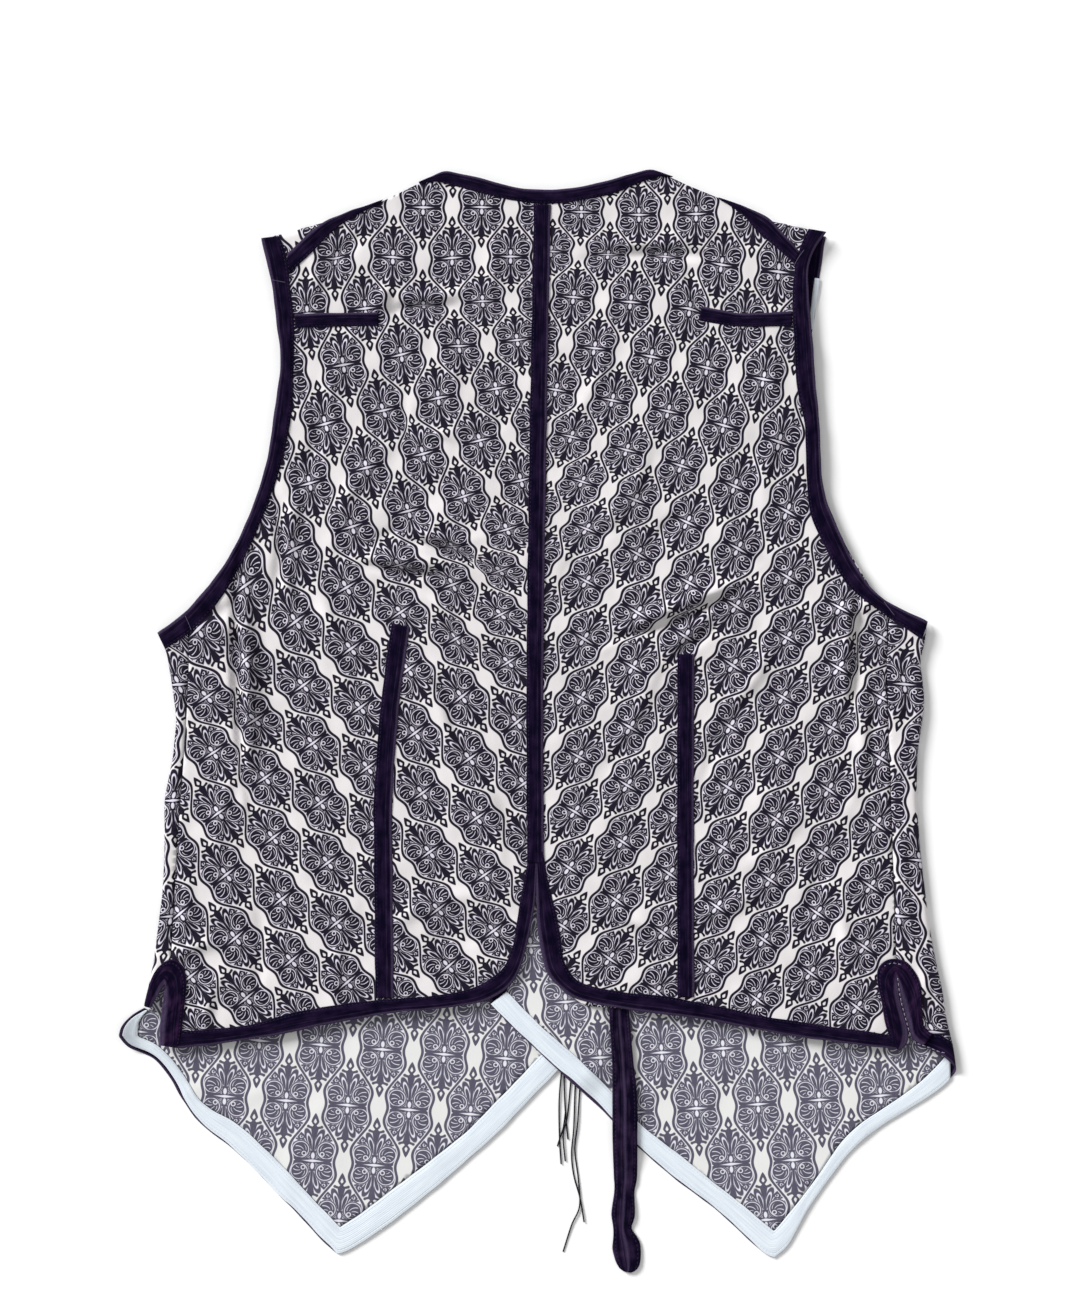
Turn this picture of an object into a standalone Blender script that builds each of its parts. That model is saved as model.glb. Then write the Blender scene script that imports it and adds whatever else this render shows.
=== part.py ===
"""A sleeveless waistcoat laid face down on a table, its back uppermost.

The two fronts lie on the table. Each one turns over at its side fold and at its
shoulder fold, and meets a back panel at a seam on the upper side. Velvet ribbon
covers the seams, the darts and the edges. Pale tape faces the fronts' hem inside.
Lengths are in millimetres until finish_object scales them to metres.
"""

import math

import bmesh
import bpy

MM = 0.001

# Thicknesses of the cloth, the trims and the gap left between pieces
CLOTH = 1.2
RIBBON = 1.0
TAPE = 0.9
STRAP = 1.8
GAP = 0.3

# Height of the back panels' underside, and the radius of a fold's outer face
BACK_BASE = 5.1
FOLD_RADIUS = (BACK_BASE + CLOTH) / 2
MID_RADIUS = FOLD_RADIUS - CLOTH / 2
FOLD_STEPS = 5
HALF_TURN = math.pi * MID_RADIUS

# Widths of the trims
RIBBON_WIDTH = 11.0
NECK_RIBBON_WIDTH = 9.0
TAPE_INSET = 1.6

# The square grid that the back's relief is worked out on
GRID = 17.0

# Smoothing: the samples between two given points, and how far a chord may cut
SAMPLES = 6
CHORD = 0.25

# The right front climbs over the left one near the centre front
OVERLAP_RISE = 2.6
OVERLAP_SLOPE = 17.0
CENTRE_END = 56.0
TAIL_CORNER = (39.0, -200.5)
TAIL_NORMAL = (0.715, -0.699)
TAIL_END = 30.0

# The left front's free side corner curls up: distance out from the body, height
CURL_START = 253.5
CURL = ((0.0, 0.0), (6.0, 0.8), (12.0, 3.2), (18.0, 7.0), (24.0, 11.0))

# Outer reach of each side fold from the centre line: height up the body, reach
FOLD_LEFT = (
    (-400.0, 255.5), (-184.0, 255.5), (-174.5, 253.5), (-156.0, 249.5), (-132.0, 246.5),
    (-111.0, 243.8), (-86.0, 242.5), (-50.0, 242.5), (-23.0, 237.0), (2.0, 234.7),
    (21.0, 237.2), (46.0, 241.2), (57.0, 247.0), (400.0, 247.0),
)
FOLD_RIGHT = (
    (-400.0, 271.8), (-227.0, 271.8), (-210.0, 269.5), (-194.0, 265.2), (-174.5, 262.6),
    (-155.0, 258.1), (-134.0, 254.2), (-107.0, 250.9), (-85.0, 248.3), (-51.0, 245.7),
    (-21.0, 246.3), (10.0, 250.9), (24.0, 250.2), (39.0, 247.7), (50.0, 250.9),
    (65.0, 252.9), (400.0, 252.9),
)
NOTCH_LEFT = -184.0
NOTCH_RIGHT = -400.0

# Each shoulder fold: where it starts, where it meets the armhole
SHOULDER_LEFT = ((-134.0, 325.5), (-180.0, 313.0))
SHOULDER_RIGHT = ((150.0, 325.5), (187.5, 317.0))

# Seams, from the underarm down to the top of the side vent
SIDE_SEAM_LEFT = ((-226.0, 71.0), (-227.5, 11.4), (-234.0, -83.5), (-238.0, -154.0))
SIDE_SEAM_RIGHT = ((227.5, 75.0), (226.2, 27.0), (228.8, -51.0), (232.1, -154.0))
SHOULDER_SEAM_LEFT = ((-111.5, 333.5), (-135.2, 320.5), (-154.7, 304.5), (-165.0, 294.0))
SHOULDER_SEAM_RIGHT = ((119.6, 338.6), (142.0, 324.0), (160.6, 307.8), (170.5, 297.5))
CENTRE_BACK = ((2.9, 344.0), (2.6, 320.0), (0.0, 183.0), (-2.0, 30.0), (-1.6, -88.0))

# Edges of the back panels
NECK_EDGE_LEFT = ((2.9, 343.6), (-16.9, 346.2), (-37.7, 352.0), (-61.1, 356.6))
NECK_EDGE_RIGHT = ((2.9, 343.6), (20.8, 344.9), (44.9, 350.1), (71.5, 357.2), (88.0, 352.0))
BACK_SHOULDER_LEFT = ((-61.1, 356.6), (-76.7, 349.4), (-98.8, 338.4), (-111.5, 333.5))
BACK_SHOULDER_RIGHT = ((88.0, 352.0), (98.8, 347.0), (119.6, 338.6))
BACK_ARMHOLE_LEFT = (
    (-172.0, 286.5), (-169.0, 261.0), (-166.5, 232.4), (-171.2, 194.0), (-177.4, 160.2),
    (-196.3, 112.8), (-222.8, 77.0), (-226.0, 71.0),
)
BACK_ARMHOLE_RIGHT = (
    (174.4, 290.0), (174.7, 274.0), (177.4, 248.0), (178.7, 223.3), (181.2, 200.0),
    (183.9, 155.7), (192.3, 128.4), (215.8, 87.0), (227.5, 75.0),
)
BACK_VENT_LEFT = ((-238.0, -154.0), (-240.5, -169.0), (-243.5, -182.0), (-245.0, -209.0))
BACK_VENT_RIGHT = ((232.1, -154.0), (232.8, -166.0), (236.0, -184.0), (238.0, -199.0), (237.0, -212.5))
HEM_END_LEFT = ((-245.0, -209.0), (-234.0, -211.0))
HEM_END_RIGHT = ((237.0, -212.5), (227.5, -211.0))

# Back hem ribbon: its upper and lower edges, from the side to the top of the centre vent
HEM_TOP_LEFT = (
    (-229.6, -200.6), (-189.2, -196.6), (-151.5, -186.9), (-105.3, -180.4), (-69.5, -177.8),
    (-41.0, -171.9), (-23.4, -160.2), (-14.3, -143.3), (-10.4, -120.6), (-6.5, -99.0), (-2.4, -92.5),
)
HEM_BOTTOM_LEFT = (
    (-231.2, -211.5), (-208.7, -209.0), (-170.3, -203.1), (-132.0, -195.3), (-94.2, -188.8),
    (-55.9, -184.9), (-33.1, -180.4), (-17.6, -170.0), (-10.4, -156.3), (-4.5, -131.6),
    (-1.4, -110.0), (-1.0, -93.5),
)
HEM_TOP_RIGHT = (
    (224.6, -202.4), (184.0, -196.6), (146.9, -190.8), (90.4, -179.1), (55.9, -175.2),
    (28.6, -169.3), (17.6, -156.3), (14.3, -138.1), (10.4, -116.0), (5.2, -97.0), (0.8, -92.5),
)
HEM_BOTTOM_RIGHT = (
    (228.4, -211.8), (184.0, -206.4), (139.8, -199.2), (110.5, -193.4), (55.9, -186.2),
    (30.6, -183.6), (17.6, -172.6), (6.5, -156.3), (3.2, -134.2), (1.0, -110.0), (-0.4, -93.5),
)

# Ribbons on the upper side that keep one width: name, width, middle line
RIBBONS = (
    ("neck_ribbon", NECK_RIBBON_WIDTH,
     ((-71.5, 348.0), (-60.0, 352.2), (-36.4, 347.4), (-16.2, 342.4), (2.0, 340.4),
      (20.8, 341.4), (44.9, 346.1), (71.5, 353.4), (86.0, 349.8))),
    ("centre_back_ribbon", RIBBON_WIDTH, ((2.8, 335.3), (0.0, 183.0), (-2.0, 30.0), (-1.6, -91.5))),
    ("shoulder_ribbon_left", RIBBON_WIDTH,
     ((-106.5, 333.5), (-117.7, 328.5), (-133.2, 320.1), (-148.0, 309.0), (-158.0, 298.2))),
    ("shoulder_ribbon_right", RIBBON_WIDTH,
     ((118.0, 337.0), (130.0, 331.5), (141.1, 325.0), (152.8, 315.6), (161.5, 305.8))),
    ("yoke_ribbon_left", NECK_RIBBON_WIDTH, ((-157.6, 259.7), (-130.0, 260.6), (-103.4, 261.0))),
    ("yoke_ribbon_right", NECK_RIBBON_WIDTH, ((105.3, 264.9), (118.3, 262.3), (134.6, 260.3), (164.6, 261.4))),
    ("dart_ribbon_left", 12.0,
     ((-89.0, 62.7), (-95.9, 11.4), (-100.4, -49.7), (-100.4, -82.2), (-99.5, -179.0))),
    ("dart_ribbon_right", RIBBON_WIDTH, ((95.9, 43.9), (95.5, -70.0), (95.9, -178.4))),
)

# Side vent ribbons: round the outside, up the slit's body side, down its front side
VENT_RIBBON_LEFT = (
    ((-254.8, -181.8), (-252.5, -172.0), (-249.0, -163.0), (-244.4, -157.2), (-238.6, -154.0),
     (-233.3, -155.5), (-229.6, -160.5), (-227.8, -168.0), (-228.2, -178.0), (-230.0, -192.0), (-231.8, -208.0)),
    ((-236.5, -211.0), (-244.6, -209.6)),
    ((-245.0, -202.0), (-243.3, -188.0), (-241.0, -173.0), (-240.3, -167.6)),
    ((-241.4, -167.8), (-244.8, -173.0), (-247.6, -178.8), (-251.6, -182.8)),
)
VENT_RIBBON_RIGHT = (
    ((229.4, -208.9), (224.8, -195.3), (222.3, -180.4), (219.7, -167.0), (220.6, -159.6), (224.5, -155.2),
     (230.0, -153.4), (237.9, -155.0), (243.5, -160.9), (247.2, -168.0), (248.6, -178.0), (248.9, -188.0),
     (250.0, -197.6)),
    ((243.8, -198.3), (240.6, -195.0), (236.4, -184.1), (233.6, -167.4)),
    ((232.8, -167.6), (235.2, -184.5), (238.0, -196.0), (238.6, -205.0), (236.8, -214.0)),
)

# Armhole ribbons: outer edge, then inner edge, from the shoulder to the underarm
ARMHOLE_RIBBON_LEFT = (
    ((-179.4, 313.5), (-176.2, 300.0), (-172.9, 285.0), (-169.7, 261.0), (-167.1, 232.4),
     (-172.0, 194.0), (-178.1, 160.2), (-197.0, 112.8), (-223.6, 76.4), (-247.0, 57.5)),
    ((-167.7, 314.9), (-163.2, 301.3), (-160.6, 281.8), (-158.4, 257.7), (-158.6, 223.3),
     (-162.5, 183.0), (-178.1, 133.6), (-200.8, 87.4), (-222.0, 61.0), (-242.0, 47.0)),
)
ARMHOLE_RIBBON_RIGHT = (
    ((186.6, 317.6), (180.1, 307.8), (175.5, 294.8), (175.5, 274.0), (178.1, 248.0),
     (179.4, 223.3), (182.0, 200.0), (184.6, 155.7), (193.1, 128.4), (216.5, 86.1), (252.9, 64.7)),
    ((175.5, 319.5), (169.5, 306.5), (166.0, 292.0), (165.1, 274.0), (165.8, 248.0),
     (168.3, 214.2), (173.0, 190.0), (174.8, 146.6), (180.7, 124.5), (203.5, 86.1), (249.0, 53.5)),
)

# Largest folds of the back: middle x, y, half length, half width, height, lean in degrees
FOLDS = (
    (-194.0, 22.0, 70.0, 11.0, 2.8, 92.0),
    (-167.0, 112.0, 34.0, 10.0, 2.0, 88.0),
    (-78.0, 102.0, 52.0, 11.0, 2.4, -8.0),
    (-66.0, 124.0, 20.0, 10.0, 2.2, 60.0),
    (-70.0, 70.0, 60.0, 13.0, 1.6, -24.0),
    (-52.0, 200.0, 46.0, 14.0, 1.4, -60.0),
    (-120.0, 305.0, 30.0, 12.0, 1.4, 64.0),
    (-110.0, 232.0, 44.0, 15.0, 1.2, 80.0),
    (-140.0, -92.0, 52.0, 14.0, 1.2, -50.0),
    (-48.0, -20.0, 50.0, 14.0, 1.2, -66.0),
    (200.0, 48.0, 44.0, 11.0, 2.4, 88.0),
    (96.0, 74.0, 58.0, 12.0, 2.0, 24.0),
    (78.0, 34.0, 46.0, 12.0, 1.4, 38.0),
    (52.0, 150.0, 46.0, 13.0, 1.4, 62.0),
    (104.0, 284.0, 34.0, 13.0, 1.4, -62.0),
    (128.0, 190.0, 48.0, 15.0, 1.3, 74.0),
    (150.0, -40.0, 60.0, 13.0, 1.4, 66.0),
    (44.0, -70.0, 50.0, 14.0, 1.2, 58.0),
)
FOLD_CUT = 0.06
SEAM_CALM = 24.0

# Left front on the table, in plan
FRONT_NECK_LEFT = ((-64.0, 350.0), (-50.0, 326.0), (-28.0, 286.0), (2.0, 228.0), (26.0, 165.0), (36.0, 110.0))
FRONT_CENTRE_LEFT = ((36.0, 110.0), (39.0, 0.0), (39.0, -200.5))
FRONT_SHOULDER_LEFT = ((-64.0, 350.0), (-98.8, 334.5), (-132.0, 321.8))
FRONT_ARMHOLE_LEFT = (
    (-175.6, 298.0), (-170.0, 274.0), (-165.0, 232.0), (-170.0, 185.0), (-180.0, 146.0),
    (-198.0, 106.0), (-220.0, 74.0), (-238.0, 59.0),
)
HEM_OUTER_LEFT = (
    ((-256.0, -186.0), (-264.0, -190.6), (-269.6, -197.0), (-271.7, -203.8)),
    ((-271.7, -203.8), (-265.2, -211.6), (-249.6, -219.4), (-238.6, -232.4), (-230.8, -246.0),
     (-219.1, -261.6), (-195.0, -280.5), (-161.2, -314.9), (-143.0, -334.4), (-130.5, -346.0)),
    ((-130.5, -346.0), (-120.0, -342.0), (-98.2, -327.3), (-76.0, -310.4), (-50.7, -288.9),
     (-26.0, -266.8), (11.7, -227.8), (39.0, -200.5)),
)
HEM_INNER_LEFT = (
    ((-253.2, -187.6), (-259.4, -195.3), (-260.0, -204.4)),
    ((-260.0, -204.4), (-245.7, -211.6), (-233.3, -225.2), (-221.7, -243.4), (-213.2, -251.2),
     (-195.0, -262.0), (-174.2, -280.5), (-150.2, -305.8), (-128.7, -328.6)),
    ((-128.7, -328.6), (-113.1, -318.0), (-83.2, -295.4), (-50.7, -270.1), (-29.9, -249.9),
     (-0.7, -219.4), (28.0, -190.5)),
)

# Right front on the table, in plan
FRONT_NECK_RIGHT = ((90.0, 346.0), (72.0, 318.0), (46.0, 284.0), (10.0, 226.0), (-18.0, 165.0), (-29.0, 110.0))
FRONT_CENTRE_RIGHT = ((-29.0, 110.0), (-31.2, 0.0), (-31.2, -183.6))
FRONT_SHOULDER_RIGHT = ((90.0, 346.0), (119.6, 335.5), (148.0, 323.0))
FRONT_ARMHOLE_RIGHT = (
    (186.4, 308.0), (184.0, 298.7), (181.3, 281.0), (178.6, 260.0), (175.0, 222.0), (178.0, 166.0),
    (189.0, 125.0), (208.0, 90.0), (232.0, 69.0), (243.0, 63.0),
)
HEM_OUTER_RIGHT = (
    ((-31.2, -183.6), (-0.7, -213.5), (25.4, -237.6), (48.1, -259.0), (65.7, -277.2),
     (87.8, -296.1), (119.0, -320.1), (144.3, -343.5), (153.5, -348.3)),
    ((153.5, -348.3), (163.2, -339.0), (175.5, -316.9), (191.8, -293.5), (205.4, -277.2),
     (221.7, -263.6), (245.1, -249.3), (261.0, -238.5), (267.9, -232.0)),
)
HEM_INNER_RIGHT = (
    ((-20.2, -175.0), (-2.0, -194.0), (22.8, -216.0), (48.1, -240.4), (64.4, -259.6),
     (98.8, -287.0), (134.6, -315.6), (153.4, -331.0)),
    ((153.4, -331.0), (166.4, -315.5), (182.0, -294.8), (197.6, -272.7), (210.6, -260.3),
     (226.2, -250.2), (244.4, -237.2), (258.0, -225.0), (267.9, -213.5)),
)

# Where the right front's hem goes on over the fold: how far past the fold line, height
HEM_OUTER_TURNED = ((4.0, -226.0), (8.0, -221.5), (12.0, -217.5), (21.0, -212.2), (29.0, -210.0))
HEM_INNER_TURNED = ((4.0, -209.5), (8.0, -205.5), (12.0, -202.6), (20.0, -201.6), (27.0, -202.6))

# Armhole, side seam and vent edges of the turned strips, as they lie on the upper side
STRIP_LEFT = (
    ((-244.0, 55.5), (-236.0, 61.5), (-227.6, 69.0)),
    ((-227.6, 69.0), (-228.8, 11.4), (-235.3, -83.5), (-239.2, -154.0)),
    ((-239.2, -154.0), (-241.6, -163.0), (-245.2, -172.0)),
)
STRIP_RIGHT = (
    ((250.0, 64.5), (240.0, 68.0), (229.0, 74.0)),
    ((229.0, 74.0), (227.6, 27.0), (230.2, -51.0), (233.5, -154.0)),
    ((233.5, -154.0), (235.0, -166.0), (238.5, -184.0), (243.0, -196.0), (246.0, -201.5)),
)

# Shoulder tips of the fronts, as they lie on the upper side
TIP_LEFT = ((-137.5, 321.0), (-155.6, 305.8), (-166.4, 295.6), (-173.6, 290.0), (-175.4, 299.0), (-178.4, 309.0))
TIP_RIGHT = ((152.5, 319.0), (161.6, 309.2), (171.4, 299.6), (175.0, 297.5), (178.4, 306.0), (184.4, 314.5))

# A short facing of pale tape shows inside the right front's armhole
ARMHOLE_TAPE = ((183.2, 302.0), (180.8, 290.0), (178.6, 276.0), (176.0, 256.0))
ARMHOLE_TAPE_WIDTH = 4.4

# The tie strap: middle line and half width, then the height of its underside along it
STRAP_LINE = (
    (52.6, -171.3, 5.0), (53.3, -187.5, 5.6), (55.9, -224.6, 6.4), (56.6, -266.8, 6.8),
    (56.6, -294.8, 6.6), (55.9, -305.2, 5.2), (55.4, -316.0, 6.6), (55.2, -323.7, 7.0),
    (55.2, -329.9, 5.6), (57.0, -342.2, 8.4), (58.4, -350.0, 6.8), (58.6, -355.6, 4.6), (58.2, -357.6, 1.6),
)
STRAP_LIFT = ((-400.0, 0.0), (-292.0, 0.0), (-277.0, 2.5), (-240.0, 2.5), (-230.0, 1.5), (-100.0, 1.5))

# Loose threads that hang from under the right front's edge: middle lines in plan
THREAD_SIZE = 0.8
THREAD_LIFT = 0.15
THREADS = (
    ((16.4, -232.0), (14.6, -241.0), (13.7, -256.0), (13.6, -272.0), (15.0, -287.6)),
    ((19.0, -232.0), (17.6, -246.0), (17.6, -257.7), (19.5, -271.4)),
    ((21.5, -232.0), (21.2, -246.0), (20.4, -262.0), (21.6, -275.0)),
    ((24.2, -232.0), (23.8, -252.5), (23.6, -280.0), (25.4, -298.0), (28.0, -313.6), (30.4, -325.3)),
    ((26.6, -232.0), (26.8, -252.5), (26.2, -279.8), (27.4, -296.0), (26.2, -310.0), (22.6, -327.9), (16.2, -344.2)),
)
THREAD_BAR = ((15.0, -234.0), (28.0, -234.0), (28.0, -230.6), (15.0, -230.6))
THREAD_BAR_HEIGHT = 0.9

# Colours: name, base colour, roughness
PRINT_OUTSIDE = ("printed_cotton", (0.36, 0.34, 0.42, 1.0), 0.75)
VELVET = ("velvet_ribbon", (0.013, 0.006, 0.026, 1.0), 0.9)
PALE_TAPE = ("pale_tape", (0.70, 0.78, 0.86, 1.0), 0.8)


def smooth(points):
    """Return a Catmull-Rom curve through the points, thinned to CHORD."""
    if len(points) < 3:
        return [tuple(point) for point in points]
    ends = [points[0], *points, points[-1]]
    curve = []
    for start in range(len(points) - 1):
        p0, p1, p2, p3 = ends[start:start + 4]
        for step in range(SAMPLES):
            t = step / SAMPLES
            curve.append(tuple(
                0.5 * (2 * b + (c - a) * t + (2 * a - 5 * b + 4 * c - d) * t ** 2
                       + (3 * b - a - 3 * c + d) * t ** 3)
                for a, b, c, d in zip(p0, p1, p2, p3)))
    curve.append(tuple(points[-1]))
    return thin(curve)


def thin(curve):
    """Drop the points that lie within CHORD of the chord past them."""
    first = curve[0]
    last = curve[-1]
    length = math.dist(first[:2], last[:2]) or 1.0
    worst = 0.0
    split = 0
    for index in range(1, len(curve) - 1):
        x, y = curve[index][:2]
        off = abs((last[0] - first[0]) * (first[1] - y) - (first[0] - x) * (last[1] - first[1])) / length
        if off > worst:
            worst = off
            split = index
    if worst <= CHORD:
        return [first, last]
    return thin(curve[:split + 1])[:-1] + thin(curve[split:])


def chain(*paths):
    """Join smoothed paths end to end into one outline, without repeated points."""
    outline = []
    for path in paths:
        for point in smooth(path):
            if not outline or math.dist(outline[-1][:2], point[:2]) > 0.2:
                outline.append(point)
    if math.dist(outline[0][:2], outline[-1][:2]) < 0.2:
        outline.pop()
    return outline


def offset(points, distance):
    """Move an open path sideways, to its left for a positive distance, with mitred turns."""
    moved = []
    for index, point in enumerate(points):
        before = points[max(index - 1, 0)]
        after = points[min(index + 1, len(points) - 1)]
        normals = []
        for start, end in ((before, point), (point, after)):
            run = math.dist(start[:2], end[:2])
            if run > 0:
                normals.append((-(end[1] - start[1]) / run, (end[0] - start[0]) / run))
        across = [sum(part) / len(normals) for part in zip(*normals)]
        stretch = distance / max(across[0] ** 2 + across[1] ** 2, 0.3)
        moved.append((point[0] + across[0] * stretch, point[1] + across[1] * stretch))
    return moved


def band(line, width):
    """Return the outline of a ribbon of one width along a middle line."""
    middle = smooth(line)
    return offset(middle, width / 2) + offset(middle, -width / 2)[::-1]


def between(edge, other):
    """Return the outline of a band between two edges that run the same way."""
    return chain(edge) + chain(other)[::-1]


def table_value(table, key):
    """Read a two-column table at key, along straight lines between its rows."""
    for (low, start), (high, end) in zip(table, table[1:]):
        if key <= high:
            return start + (end - start) * (max(key, low) - low) / (high - low)
    return table[-1][1]


def flat_solid(outline, low, thickness):
    """Return a bmesh of a flat outline with the given thickness, its underside at low."""
    curve = bpy.data.curves.new("outline", "CURVE")
    curve.dimensions = "2D"
    curve.fill_mode = "BOTH"
    curve.extrude = thickness / 2
    spline = curve.splines.new("POLY")
    spline.points.add(len(outline) - 1)
    for knot, (x, y) in zip(spline.points, outline):
        knot.co = (x, y, 0.0, 1.0)
    spline.use_cyclic_u = True
    source = bpy.data.objects.new("outline", curve)
    bpy.context.scene.collection.objects.link(source)
    view = bpy.context.evaluated_depsgraph_get()
    mesh = bpy.data.meshes.new_from_object(source.evaluated_get(view))
    bpy.data.objects.remove(source)
    solid = bmesh.new()
    solid.from_mesh(mesh)
    bpy.data.meshes.remove(mesh)
    bmesh.ops.remove_doubles(solid, verts=solid.verts, dist=0.01)
    bmesh.ops.translate(solid, verts=solid.verts, vec=(0.0, 0.0, low + thickness / 2))
    bmesh.ops.recalc_face_normals(solid, faces=solid.faces)
    return solid


def score(solid, place, across, keep=None):
    """Cut every face that crosses a vertical plane, so that the solid can bend there."""
    faces = [face for face in solid.faces if keep is None or keep(face.calc_center_median())]
    edges = {edge for face in faces for edge in face.edges}
    verts = {vert for face in faces for vert in face.verts}
    bmesh.ops.bisect_plane(solid, geom=list(verts) + list(edges) + faces, dist=0.005,
                           plane_co=(*place, 0.0), plane_no=(*across, 0.0))


def finish_object(name, solid, finish, group):
    """Scale a solid to metres and make it a named object with its own material."""
    if solid.calc_volume(signed=True) < 0.0:
        bmesh.ops.reverse_faces(solid, faces=solid.faces)
    bmesh.ops.scale(solid, vec=(MM, MM, MM), verts=solid.verts)
    bmesh.ops.triangulate(solid, faces=solid.faces)
    mesh = bpy.data.meshes.new(name)
    solid.to_mesh(mesh)
    solid.free()
    colour_name, colour, roughness = finish
    material = bpy.data.materials.new(f"{name}_{colour_name}")
    material.use_nodes = True
    shader = material.node_tree.nodes["Principled BSDF"]
    shader.inputs["Base Color"].default_value = colour
    shader.inputs["Roughness"].default_value = roughness
    shader.inputs["Metallic"].default_value = 0.0
    material.diffuse_color = colour
    mesh.materials.append(material)
    piece = bpy.data.objects.new(name, mesh)
    group.objects.link(piece)
    return piece


class BackSurface:
    """The back of the waistcoat: a level layer with soft folds, flat between grid lines."""

    def __init__(self):
        self.heights = {}

    def calm(self, x, y):
        """Return 0 at the side seams and beyond them, and 1 well inside the panels."""
        if y > SIDE_SEAM_LEFT[0][1]:
            return 1.0
        seam = SIDE_SEAM_LEFT if x < 0 else SIDE_SEAM_RIGHT
        rows = [(height, abs(reach)) for reach, height in reversed(seam)]
        inside = table_value(rows, y) - abs(x)
        return min(max((inside - GRID) / SEAM_CALM, 0.0), 1.0)

    def corner(self, column, row):
        """Return the height of one grid corner above the level layer."""
        if (column, row) not in self.heights:
            x = column * GRID
            y = row * GRID
            total = 0.0
            for mid_x, mid_y, half_length, half_width, height, lean in FOLDS:
                turn = math.radians(lean)
                along = (x - mid_x) * math.cos(turn) + (y - mid_y) * math.sin(turn)
                aside = (y - mid_y) * math.cos(turn) - (x - mid_x) * math.sin(turn)
                bell = math.exp(-(along / half_length) ** 2 - (aside / half_width) ** 2)
                total += height * max(bell - FOLD_CUT, 0.0)
            self.heights[column, row] = total * self.calm(x, y)
        return self.heights[column, row]

    def lift(self, x, y):
        """Return the height at a point, along the two triangles of its grid square."""
        column = math.floor(x / GRID)
        row = math.floor(y / GRID)
        across = x / GRID - column
        up = y / GRID - row
        right = self.corner(column + 1, row)
        above = self.corner(column, row + 1)
        if across + up <= 1.0:
            start = self.corner(column, row)
            return start + across * (right - start) + up * (above - start)
        far = self.corner(column + 1, row + 1)
        return far + (1.0 - across) * (above - far) + (1.0 - up) * (right - far)

    def bend(self, solid):
        """Score a solid along the grid and lay it on the surface."""
        xs = [vert.co.x for vert in solid.verts]
        ys = [vert.co.y for vert in solid.verts]
        sums = [x + y for x, y in zip(xs, ys)]
        for values, across, scale in ((xs, (1.0, 0.0), 1.0), (ys, (0.0, 1.0), 1.0), (sums, (1.0, 1.0), 0.5)):
            for line in range(math.ceil(min(values) / GRID), math.floor(max(values) / GRID) + 1):
                place = line * GRID * scale
                score(solid, (place * (across[0] > 0), place * (across[1] > 0)), across)
        for vert in solid.verts:
            vert.co.z += BACK_BASE + self.lift(vert.co.x, vert.co.y)


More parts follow.
